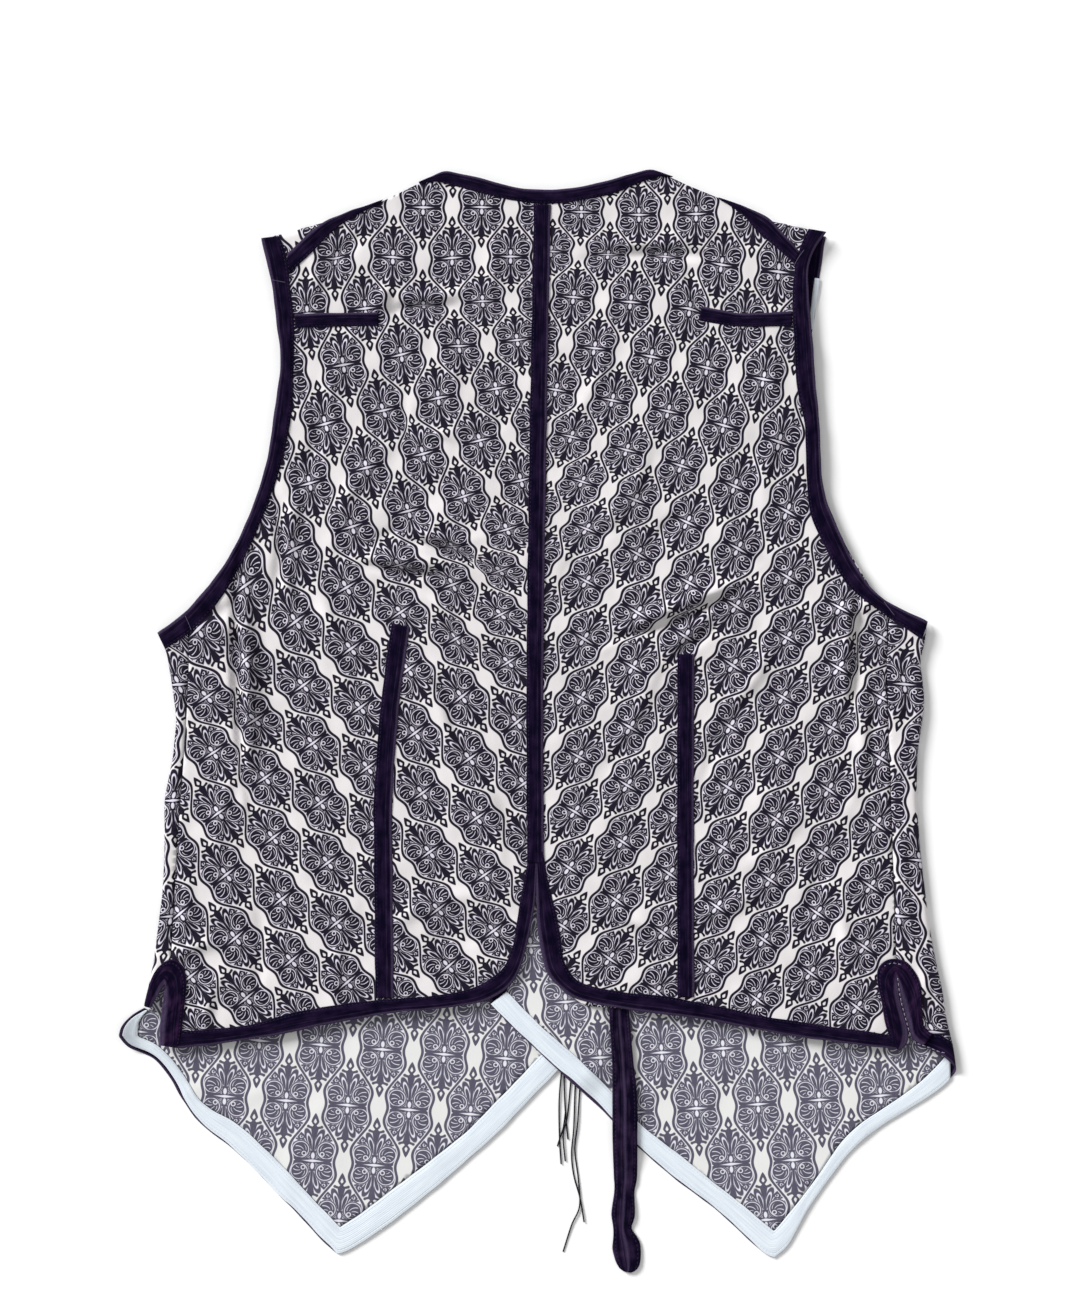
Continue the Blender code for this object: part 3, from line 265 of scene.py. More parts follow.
# How far the narrow creases bend, where a bend crosses its straight line, and the cut on the fronts
CREASE_BOW = 0.8
BOW_MIDDLE = 0.3
FRONT_CUT = 0.03

# Creases of the upper side: middle x, y, half length, half width, height, lean in degrees
UPPER_CREASES: Path = (
    (-167.0, 112.0, 30.0, 4.5, -0.9, 88.0), (-161.0, 112.0, 32.0, 4.0, 0.8, 86.0),
    (-85.0, 98.5, 25.0, 2.7, -1.9, -6.0), (-88.0, 103.6, 26.0, 3.6, 1.2, -8.0),
    (-64.0, 118.6, 16.0, 3.2, 1.3, -14.0), (-62.0, 113.4, 16.0, 2.6, -1.6, -18.0),
    (-41.0, 103.0, 18.0, 2.6, -1.4, -40.0), (-37.0, 107.0, 20.0, 3.6, 0.9, -42.0),
    (-53.0, 57.0, 16.0, 3.0, -0.8, -54.0), (-60.0, 72.0, 12.0, 3.0, 0.7, -50.0),
    (-158.0, 90.0, 14.0, 3.0, -0.6, -62.0), (-127.0, 303.0, 16.0, 4.0, -0.8, 52.0),
    (-145.0, 287.0, 12.0, 4.0, 0.5, 84.0), (-72.0, 270.0, 18.0, 2.6, -1.4, 2.0),
    (-70.0, 275.0, 20.0, 4.0, 0.8, 4.0), (-100.0, 274.0, 9.0, 4.0, 0.9, 80.0),
    (-85.0, 193.0, 12.0, 3.0, -0.8, -72.0), (-64.0, 186.0, 10.0, 3.0, 0.6, -4.0),
    (-37.0, 187.0, 12.0, 3.0, -0.5, 14.0), (-194.6, 32.0, 58.0, 3.0, -2.1, 92.0),
    (-188.4, 30.0, 60.0, 4.0, 1.2, 92.0), (-205.0, -60.0, 30.0, 5.0, 0.5, 80.0),
    (-130.0, 60.0, 30.0, 5.0, 0.6, -58.0), (-118.0, 30.0, 26.0, 4.0, -0.6, -62.0),
    (-140.0, -10.0, 30.0, 5.0, 0.5, -55.0), (-70.0, 20.0, 30.0, 5.0, 0.6, -60.0),
    (-50.0, -10.0, 28.0, 4.0, -0.5, -64.0), (-30.0, -60.0, 24.0, 5.0, 0.5, -70.0),
    (-150.0, -110.0, 36.0, 5.0, 0.5, -30.0), (-70.0, -120.0, 30.0, 5.0, 0.5, 20.0),
    (-50.0, -140.0, 24.0, 4.0, -0.4, 10.0), (-130.0, -160.0, 26.0, 4.0, 0.5, 84.0),
    (-180.0, -150.0, 24.0, 4.0, -0.5, 86.0), (-60.0, 240.0, 26.0, 5.0, 0.5, -70.0),
    (-30.0, 290.0, 24.0, 5.0, 0.4, 76.0), (-130.0, 230.0, 24.0, 5.0, 0.5, 70.0),
    (-145.0, 180.0, 26.0, 4.0, -0.5, 74.0), (-120.0, 150.0, 28.0, 5.0, 0.6, 60.0),
    (-100.0, 120.0, 22.0, 4.0, -0.5, 30.0), (-202.0, 58.0, 20.0, 4.0, 0.6, -20.0),
    (-206.0, 72.0, 16.0, 4.0, -0.5, 24.0), (-236.0, -40.0, 40.0, 3.5, 0.4, 93.0),
    (-228.0, -120.0, 26.0, 4.0, 0.4, 84.0), (-222.0, -146.0, 14.0, 4.0, 0.8, 16.0),
    (-244.0, -128.0, 20.0, 3.0, -0.4, 86.0), (-214.0, -186.0, 20.0, 4.0, 0.6, 78.0),
    (206.0, 48.0, 34.0, 3.0, -1.8, 88.0), (200.4, 50.0, 34.0, 3.8, 1.1, 87.0),
    (92.0, 69.0, 42.0, 3.0, -1.8, 22.0), (92.0, 74.6, 42.0, 4.2, 1.1, 23.0),
    (99.0, 60.0, 20.0, 4.0, 0.6, 38.0), (100.0, 50.0, 22.0, 3.5, -0.7, 40.0),
    (105.0, 270.0, 18.0, 4.0, -0.7, -60.0), (66.0, 304.0, 26.0, 2.7, -1.4, 2.0),
    (66.0, 309.0, 28.0, 4.0, 0.8, 3.0), (100.0, 302.0, 14.0, 3.0, -0.7, -4.0),
    (60.0, 150.0, 24.0, 4.0, 0.5, 60.0), (80.0, 120.0, 24.0, 4.0, -0.5, 52.0),
    (130.0, 120.0, 24.0, 5.0, 0.6, -40.0), (150.0, 170.0, 26.0, 5.0, 0.5, 76.0),
    (140.0, 30.0, 30.0, 5.0, 0.6, 60.0), (120.0, -10.0, 30.0, 4.0, -0.5, 62.0),
    (60.0, 0.0, 26.0, 5.0, 0.5, 58.0), (40.0, -40.0, 24.0, 4.0, -0.5, 62.0),
    (160.0, -70.0, 30.0, 5.0, 0.5, 50.0), (180.0, -110.0, 26.0, 4.0, -0.5, 70.0),
    (120.0, -120.0, 28.0, 5.0, 0.5, 20.0), (60.0, -130.0, 28.0, 4.0, 0.5, -16.0),
    (200.0, -140.0, 24.0, 4.0, 0.5, -80.0), (150.0, 230.0, 24.0, 5.0, 0.5, -74.0),
    (40.0, 230.0, 28.0, 5.0, 0.5, 72.0), (30.0, 110.0, 20.0, 4.0, -0.5, 48.0),
    (210.0, -20.0, 30.0, 5.0, 0.6, 84.0), (218.0, 0.0, 30.0, 4.0, -0.5, 84.0),
    (204.0, 74.0, 20.0, 4.0, 0.6, 14.0), (238.0, -90.0, 34.0, 3.5, 0.4, 86.0),
    (240.0, 20.0, 24.0, 3.5, -0.4, 90.0), (252.0, -170.0, 20.0, 4.0, 0.4, 74.0),
)

# Creases of the fronts where they lie on the table, as lifts from it
FRONT_CREASES: Path = (
    (-206.0, -226.0, 26.0, 6.0, 0.9, 44.0), (-150.0, -270.0, 36.0, 7.0, 0.8, 62.0),
    (-120.0, -240.0, 44.0, 6.0, 0.6, 78.0), (-84.0, -250.0, 34.0, 6.0, 0.7, -58.0),
    (-40.0, -226.0, 28.0, 6.0, 0.6, -36.0), (-176.0, -240.0, 30.0, 5.0, 0.5, 20.0),
    (-132.0, -304.0, 22.0, 6.0, 0.6, 88.0), (196.0, -246.0, 30.0, 7.0, 0.8, -48.0),
    (150.0, -262.0, 38.0, 6.0, 0.7, -74.0), (112.0, -246.0, 36.0, 6.0, 0.6, 70.0),
    (76.0, -236.0, 30.0, 6.0, 0.6, 46.0), (168.0, -300.0, 20.0, 6.0, 0.6, 80.0),
    (-120.0, -60.0, 90.0, 9.0, 0.6, 84.0), (-60.0, 60.0, 80.0, 8.0, 0.5, -70.0),
    (-170.0, 10.0, 70.0, 9.0, 0.6, 78.0), (-40.0, -120.0, 60.0, 8.0, 0.5, 52.0),
    (-110.0, 200.0, 60.0, 9.0, 0.6, -64.0), (120.0, -60.0, 90.0, 9.0, 0.6, -82.0),
    (70.0, 50.0, 80.0, 8.0, 0.5, 66.0), (170.0, 20.0, 70.0, 9.0, 0.6, -76.0),
    (110.0, 190.0, 60.0, 9.0, 0.6, 62.0), (60.0, -130.0, 60.0, 8.0, 0.5, -48.0),
)

# Slow swells of all cloth: height, length of the wave, lean in degrees, phase
SWELLS: Path = (
    (0.17, 64.0, 18.0, 0.3), (0.15, 47.0, 71.0, 1.9), (0.12, 39.0, 128.0, 4.1), (0.10, 29.0, 44.0, 2.6),
    (0.08, 23.0, 96.0, 5.2), (0.06, 17.0, 152.0, 0.9), (0.05, 13.0, 61.0, 3.7), (0.04, 10.0, 12.0, 1.2),
)

# How far the swells wander, and over what length
SWELL_DRIFT = 1.3
SWELL_DRIFT_LENGTH = 71.0

# Fronts in plan
FRONT_NECK_LEFT: Path = (
    (-64.0, 350.0), (-50.0, 326.0), (-28.0, 286.0), (2.0, 228.0), (26.0, 165.0), (36.0, 110.0),
)
FRONT_CENTRE_LEFT: Path = ((36.0, 110.0), (39.0, 0.0), (39.0, -200.5))
FRONT_SHOULDER_LEFT: Path = ((-64.0, 350.0), (-98.8, 334.5), (-132.0, 321.8))
FRONT_ARMHOLE_LEFT: Path = (
    (-175.6, 298.0), (-170.0, 274.0), (-165.0, 232.0), (-170.0, 185.0), (-180.0, 146.0),
    (-198.0, 106.0), (-220.0, 74.0), (-238.0, 59.0),
)
HEM_OUTER_LEFT: tuple[Path, ...] = (
    ((-256.0, -186.0), (-264.0, -190.6), (-269.6, -197.0), (-271.7, -203.8)),
    ((-271.7, -203.8), (-265.2, -211.6), (-249.6, -219.4), (-238.6, -232.4), (-230.8, -246.0),
     (-219.1, -261.6), (-195.0, -280.5), (-161.2, -314.9), (-143.0, -334.4), (-130.5, -346.0)),
    ((-130.5, -346.0), (-120.0, -342.0), (-98.2, -327.3), (-76.0, -310.4), (-50.7, -288.9),
     (-26.0, -266.8), (11.7, -227.8), (39.0, -200.5)),
)
HEM_INNER_LEFT: tuple[Path, ...] = (
    ((-253.2, -187.6), (-259.4, -195.3), (-260.0, -204.4)),
    ((-260.0, -204.4), (-245.7, -211.6), (-233.3, -225.2), (-221.7, -243.4), (-213.2, -251.2),
     (-195.0, -262.0), (-174.2, -280.5), (-150.2, -305.8), (-128.7, -328.6)),
    ((-128.7, -328.6), (-113.1, -318.0), (-83.2, -295.4), (-50.7, -270.1), (-29.9, -249.9),
     (-0.7, -219.4), (28.0, -190.5)),
)
FRONT_NECK_RIGHT: Path = (
    (90.0, 346.0), (72.0, 318.0), (46.0, 284.0), (10.0, 226.0), (-18.0, 165.0), (-29.0, 110.0),
)
FRONT_CENTRE_RIGHT: Path = ((-29.0, 110.0), (-31.2, 0.0), (-31.2, -183.6))
FRONT_SHOULDER_RIGHT: Path = ((90.0, 346.0), (119.6, 335.5), (148.0, 323.0))
FRONT_ARMHOLE_RIGHT: Path = (
    (187.0, 315.0), (185.7, 307.8), (183.9, 294.0), (182.0, 281.0), (178.9, 258.0), (175.0, 222.0),
    (178.0, 166.0), (189.0, 125.0), (208.0, 90.0), (232.0, 69.0), (243.0, 63.0),
)
HEM_OUTER_RIGHT: tuple[Path, ...] = (
    ((-31.2, -183.6), (-0.7, -213.5), (25.4, -237.6), (48.1, -259.0), (65.7, -277.2),
     (87.8, -296.1), (119.0, -320.1), (144.3, -343.5), (153.5, -348.3)),
    ((153.5, -348.3), (163.2, -339.0), (175.5, -316.9), (191.8, -293.5), (205.4, -277.2),
     (221.7, -263.6), (245.1, -249.3), (261.0, -238.5), (267.9, -232.0)),
)
HEM_INNER_RIGHT: tuple[Path, ...] = (
    ((-20.2, -175.0), (-2.0, -194.0), (22.8, -216.0), (48.1, -240.4), (64.4, -259.6),
     (98.8, -287.0), (134.6, -315.6), (153.4, -331.0)),
    ((153.4, -331.0), (166.4, -315.5), (182.0, -294.8), (197.6, -272.7), (210.6, -260.3),
     (226.2, -250.2), (244.4, -237.2), (258.0, -225.0), (267.9, -213.5)),
)

# Where the right front's hem goes on over the fold: how far past the fold line, height
HEM_OUTER_TURNED: Path = ((4.0, -226.0), (8.0, -221.5), (12.0, -217.5), (21.0, -212.2), (29.0, -210.0))
HEM_INNER_TURNED: Path = ((4.0, -209.5), (8.0, -205.5), (12.0, -202.6), (20.0, -201.6), (27.0, -202.6))

# Armhole, side seam and vent edges of the turned strips, as they lie on the upper side
STRIP_LEFT: tuple[Path, ...] = (
    ((-244.0, 55.5), (-236.0, 61.5), (-226.4, 70.0)),
    ((-226.4, 70.0), (-227.9, 11.4), (-234.4, -83.5), (-238.4, -154.0)),
    ((-238.4, -154.0), (-241.2, -163.0), (-245.2, -172.0)),
)
STRIP_RIGHT: tuple[Path, ...] = (
    ((250.0, 64.5), (240.0, 68.0), (227.9, 74.5)),
    ((227.9, 74.5), (226.6, 27.0), (229.2, -51.0), (232.5, -154.0)),
    ((232.5, -154.0), (234.4, -166.0), (238.2, -184.0), (243.0, -196.0), (246.0, -201.5)),
)

# Shoulder tips of the fronts, as they lie on the upper side
TIP_LEFT: Path = (
    (-137.5, 321.0), (-155.6, 305.8), (-166.4, 295.6), (-173.6, 290.0), (-175.4, 299.0), (-178.4, 309.0),
)
TIP_RIGHT: Path = (
    (152.5, 319.0), (161.6, 309.2), (171.4, 299.6), (175.0, 297.5), (178.4, 306.0), (184.4, 314.5),
)
ARMHOLE_TAPE: Path = ((181.4, 288.0), (180.4, 280.0), (178.6, 268.0), (176.8, 255.0))
ARMHOLE_TAPE_WIDTH = 3.4

# How much velvet shows outside each hem tape: share of the hem's length, width in millimetres
TAPE_INSET_LEFT: Path = (
    (0.0, 1.5), (0.06, 2.2), (0.17, 2.3), (0.19, 1.3), (0.28, 0.9), (0.30, 0.2), (0.395, 0.2), (0.41, 1.1),
    (0.49, 1.1), (0.505, 0.05), (1.0, 0.05),
)
TAPE_INSET_RIGHT: Path = (
    (0.0, 0.5), (0.14, 0.9), (0.17, 2.0), (0.24, 1.9), (0.27, 1.0), (0.54, 0.8), (0.60, 0.05), (1.0, 0.05),
)

# The tie strap: middle line and half width, then the height of its underside along it
STRAP_LINE: Path = (
    (52.3, -171.3, 6.3), (52.9, -193.7, 6.6), (54.9, -219.4, 6.9), (56.3, -245.2, 8.1), (56.4, -270.9, 8.1),
    (56.8, -294.8, 7.6), (56.1, -305.4, 6.6), (55.3, -320.0, 7.7), (54.9, -329.9, 6.0), (57.2, -340.3, 9.1),
    (58.6, -350.6, 8.0), (58.6, -355.6, 5.6), (58.4, -357.6, 2.4),
)
STRAP_LIFT: Path = ((-400.0, 0.0), (-292.0, 0.0), (-277.0, 2.5), (-240.0, 2.5), (-230.0, 2.0), (-100.0, 2.0))

# Loose threads that hang from under the right front's edge: middle lines in plan
THREADS: tuple[Path, ...] = (
    ((15.6, -226.0), (15.0, -230.0), (13.7, -248.0), (14.0, -271.4), (15.0, -287.6)),
    ((17.4, -228.0), (16.9, -231.7), (17.6, -250.6), (19.4, -271.4)),
    ((17.8, -254.0), (16.4, -264.0), (14.0, -271.4), (12.6, -276.0)),
    ((21.6, -231.0), (21.1, -235.6), (19.1, -256.4), (16.3, -268.8), (17.7, -285.7)),
    ((24.6, -233.0), (24.1, -237.0), (23.2, -264.2), (21.8, -280.5), (23.2, -294.8), (27.3, -309.7),
     (29.9, -325.3)),
    ((27.4, -236.0), (27.0, -240.0), (25.7, -261.6), (23.9, -278.2), (26.2, -297.4), (27.0, -314.9),
     (21.8, -327.3), (16.3, -344.6)),
)

# Lines of pale stitches at the right vent and along the turned hem
STITCHES: tuple[Path, ...] = (
    ((233.0, -166.0), (234.6, -178.0), (237.4, -189.4), (240.2, -199.4), (242.0, -205.0)),
    ((224.0, -158.5), (229.8, -156.3), (236.6, -157.8)),
    ((246.0, -208.6), (252.6, -210.8), (259.0, -213.4), (265.0, -214.8)),
)

# Short lines of sewing where an armhole ribbon's lengths are joined
JOINS: tuple[Path, ...] = (
    ((-228.6, 68.6), (-224.6, 59.4)), ((224.4, 77.6), (231.0, 68.9)), ((-172.2, 286.4), (-163.8, 284.8)),
    ((172.4, 305.8), (168.6, 300.6), (165.6, 295.0)),
)

# Lean of the print's upright axis on each back panel, away from the centre seam: height, degrees
LEAN_LEFT: Path = (
    (-400.0, 41.0), (-150.0, 39.6), (-80.0, 36.4), (-20.0, 36.0), (30.0, 38.0), (60.0, 34.6), (90.0, 29.0),
    (120.0, 20.4), (150.0, 15.6), (180.0, 14.2), (210.0, 12.0), (250.0, 7.8), (290.0, 0.6), (400.0, -3.8),
)
LEAN_RIGHT: Path = (
    (-400.0, 38.6), (-150.0, 35.3), (-80.0, 34.6), (-20.0, 31.4), (30.0, 31.2), (60.0, 31.2), (90.0, 30.6),
    (120.0, 28.2), (150.0, 23.0), (180.0, 16.8), (210.0, 12.2), (250.0, 9.1), (290.0, 7.0), (400.0, -12.0),
)


class Side(Enum):
    """The wearer's left and right, which are the photo's left and right."""

    LEFT = -1.0
    RIGHT = 1.0


class Rim(Enum):
    """How a ribbon's outer edge ends."""

    LAID = "laid flat on the cloth"
    WRAPPED = "turned down over the cloth's edge"


def smooth(points: Path | np.ndarray, steps: int = 8) -> np.ndarray:
    """Draw a soft curve through a few given points.

    Args:
        points: the points, each with two or more coordinates.
        steps: how many samples each span gets.

    Returns:
        The curve's points, one row each.
    """
    knots = np.asarray(points, float)
    if len(knots) < 3:
        return knots
    ends = np.vstack([knots[:1], knots, knots[-1:]])
    t = np.linspace(0.0, 1.0, steps, endpoint=False)[:, None]
    spans = []
    for start in range(len(knots) - 1):
        a, b, c, d = ends[start:start + 4]
        spans.append(0.5 * (2 * b + (c - a) * t + (2 * a - 5 * b + 4 * c - d) * t ** 2
                            + (3 * b - a - 3 * c + d) * t ** 3))
    return np.vstack([*spans, knots[-1:]])


def lengths_along(path: np.ndarray) -> np.ndarray:
    """Return how far along the path each of its points lies."""
    return np.concatenate([[0.0], np.cumsum(np.hypot(*np.diff(path[:, :2], axis=0).T))])


def spaced(path: np.ndarray, count: int) -> np.ndarray:
    """Return count + 1 points at even steps along a path."""
    along = lengths_along(path)
    places = np.linspace(0.0, along[-1], count + 1)
    return np.column_stack([np.interp(places, along, path[:, k]) for k in range(path.shape[1])])


def chain(*paths: Path) -> np.ndarray:
    """Smooth each path and join them end to end, without repeated points."""
    joined = np.vstack([smooth(path) for path in paths])
    keep = np.concatenate([[True], np.hypot(*np.diff(joined, axis=0).T) > SAME_PLACE])
    return joined[keep]


def offset(path: np.ndarray, distance: float | np.ndarray) -> np.ndarray:
    """Move an open path sideways.

    Args:
        path: the path's points.
        distance: how far, to the left of its direction where positive, or a column of such distances.

    Returns:
        The moved points, one for each given one.
    """
    steps = np.diff(path[:, :2], axis=0)
    steps /= np.hypot(*steps.T)[:, None]
    normals = np.column_stack([-steps[:, 1], steps[:, 0]])
    across = np.vstack([normals[:1], (normals[:-1] + normals[1:]) / 2, normals[-1:]])
    stretch = np.maximum((across ** 2).sum(axis=1), SHARPEST_CORNER)[:, None]
    return path[:, :2] + across * distance / stretch


def above(path: np.ndarray, level: float) -> np.ndarray:
    """Cut a path that runs down the garment where it passes below a level."""
    kept = path[path[:, 1] > level]
    return np.vstack([kept, [kept[-1, 0], level]])


def read_table(table: Path, keys: np.ndarray) -> np.ndarray:
    """Read a two-column table at each key, along straight lines between its rows."""
    rows = np.asarray(table, float)
    return np.interp(keys, rows[:, 0], rows[:, 1])


def soft_step(values: np.ndarray) -> np.ndarray:
    """Return 0 below 0, 1 above 1 and a soft rise between."""
    t = np.clip(values, 0.0, 1.0)
    return t * t * (3.0 - 2.0 * t)


def turned(x: np.ndarray, y: np.ndarray, middle: Pair, lean: float) -> tuple[np.ndarray, np.ndarray]:
    """Read places against a leaning line.

    Args:
        x: the places, across.
        y: the places, up the body.
        middle: the line's middle point.
        lean: its lean in degrees.

    Returns:
        How far each place lies along the line, and how far aside of it.
    """
    turn = math.radians(lean)
    right = x - middle[0]
    up = y - middle[1]
    return right * math.cos(turn) + up * math.sin(turn), up * math.cos(turn) - right * math.sin(turn)


def creases(table: Path, x: np.ndarray, y: np.ndarray, cut: float = 0.0, bow: float = 0.0) -> np.ndarray:
    """Add up the heights of soft troughs and ridges.

    Args:
        table: middle x, y, half length, half width, height and lean of each crease.
        x: where the heights are wanted, across.
        y: where the heights are wanted, up the body.
        cut: how much of each bell's foot is cut away.
        bow: how far each crease bends off its straight line, in half widths.

    Returns:
        The height at each place.
    """
    total = np.zeros_like(x)
    for number, (mid_x, mid_y, half_length, half_width, height, lean) in enumerate(table):
        along, aside = turned(x, y, (mid_x, mid_y), lean)
        along = along / half_length
        aside = aside / half_width + bow * (along ** 2 - BOW_MIDDLE) * (1 if number % 2 else -1)
        total += height * np.maximum(np.exp(-along ** 2 - aside ** 2) - cut, 0.0)
    return total


def swells(x: np.ndarray, y: np.ndarray) -> np.ndarray:
    """Return the slow, uneven swelling that all laid cloth has."""
    total = np.zeros_like(x)
    drift = SWELL_DRIFT * np.sin((x - y) / SWELL_DRIFT_LENGTH)
    for height, wave, lean, phase in SWELLS:
        run = turned(x, y, (0.0, 0.0), lean)[0]
        total += height * np.sin(run * 2 * math.pi / wave + phase + drift)
    return total


@dataclass(frozen=True)
class SideFold:
    """One side fold: how far it reaches from the centre line at each height."""

    table: Path
    seam: Path
    softness: float = 5.0
    rounding: int = 15

    def reach(self, y: np.ndarray) -> np.ndarray:
        """Return the outer reach at each height, with the table's corners rounded off."""
        weights = np.exp(-(np.arange(-self.rounding, self.rounding + 1.0) / self.softness) ** 2)
        padded = np.pad(read_table(self.table, LEVELS), self.rounding, mode="edge")
        soft = np.convolve(padded, weights / weights.sum(), mode="valid")
        return np.interp(y, LEVELS, soft)

    def seam_at(self, y: np.ndarray) -> np.ndarray:
        """Return how far the side seam lies from the centre line at each height."""
        rows = np.asarray(self.seam)[::-1]
        return np.interp(y, rows[:, 1], np.abs(rows[:, 0]))


FOLDS = {Side.LEFT: SideFold(FOLD_LEFT, SIDE_SEAM_LEFT), Side.RIGHT: SideFold(FOLD_RIGHT, SIDE_SEAM_RIGHT)}


@dataclass(frozen=True)
class UpperSide:
    """The upper side of the laid garment, which back panels, turned strips and ribbons share."""

    seam_depth: float = 0.7
    seam_width: float = 1.7
    pucker_height: float = 0.16
    pucker_width: float = 7.0
    pucker_wave: float = 2.1
    pucker_drift: float = 1.5
    pucker_drift_length: float = 17.0
    fade: float = 12.0
    sharpness: float = 4.6
    slackness: float = 1.6
    deepest: float = 2.6
    deepest_middle: float = 0.8
    middle_half: float = 50.0
    middle_run: float = 22.0
    slip_from: float = -0.65
    slip_most: float = -1.1
    slip: float = 3.4
    slip_reach: float = 42.0

    def edge(self, x: np.ndarray, y: np.ndarray) -> np.ndarray:
        """Return how far inside the side folds each place lies."""
        left = FOLDS[Side.LEFT].reach(y) + x
        right = FOLDS[Side.RIGHT].reach(y) - x
        return np.minimum(left, right)

    def relief(self, x: np.ndarray, y: np.ndarray) -> np.ndarray:
        """Return the folds' and creases' height above the level layer."""
        seam = np.where(x < 0, FOLDS[Side.LEFT].seam_at(y), FOLDS[Side.RIGHT].seam_at(y))
        inside = seam - np.abs(x)
        calm = np.where(y > UNDERARM, 1.0, np.clip((inside - CALM_START) / CALM_RUN, 0.0, 1.0))
        total = creases(LARGE_FOLDS, x, y, FOLD_CUT, FOLD_BOW) * calm
        total += self.sharpness * creases(UPPER_CREASES, x, y, 0.0, CREASE_BOW)
        total += self.slackness * swells(x, y)
        aside = soft_step((np.abs(x) - self.middle_half) / self.middle_run)
        room = self.deepest_middle + (self.deepest - self.deepest_middle) * aside
        total = np.where(total < 0.0, room * np.tanh(total / room), total)
        sewn = (y < UNDERARM) & (y > VENT_TOP)
        groove = np.exp(-(inside / self.seam_width) ** 2)
        drift = self.pucker_drift * np.sin(y / self.pucker_drift_length)
        pucker = np.exp(-(inside / self.pucker_width) ** 2) * np.sin(y / self.pucker_wave + drift)
        total += np.where(sewn, self.pucker_height * pucker - self.seam_depth * groove, 0.0)
        return total * soft_step(self.edge(x, y) / self.fade)

    def taken_up(self, x: np.ndarray, y: np.ndarray) -> tuple[np.ndarray, np.ndarray]:
        """Return how far the print is shifted by the cloth that the sharp creases take up."""
        across = np.zeros_like(x)
        along = np.zeros_like(x)
        for mid_x, mid_y, half_length, half_width, height, lean in UPPER_CREASES:
            if height > self.slip_from:
                continue
            turn = math.radians(lean)
            run, aside = turned(x, y, (mid_x, mid_y), lean)
            amount = self.slip * max(height, self.slip_most) * np.tanh(aside / half_width)
            amount = amount * np.exp(-(run / half_length) ** 2 - np.abs(aside) / self.slip_reach)
            across += amount * math.sin(turn)
            along -= amount * math.cos(turn)
        return across, along

    def lay(self, x: np.ndarray, y: np.ndarray, height: np.ndarray) -> np.ndarray:
        """Lay points on the upper side.

        Args:
            x: places across the garment.
            y: places up the body.
            height: how far above the underside of the upper layer each one is.

        Returns:
            The points in millimetres, one row each.
        """
        rim = np.clip(FOLD_RADIUS - self.edge(x, y), 0.0, FOLD_RADIUS)
        drop = FOLD_RADIUS - np.sqrt(FOLD_RADIUS ** 2 - rim ** 2)
        near_fold = (y > FOLD_BOTTOM) & (y < FOLD_TOP)
        z = BACK_BASE + height + self.relief(x, y) - np.where(near_fold, drop, 0.0)
        return np.column_stack([x, y, z])


UPPER = UpperSide()


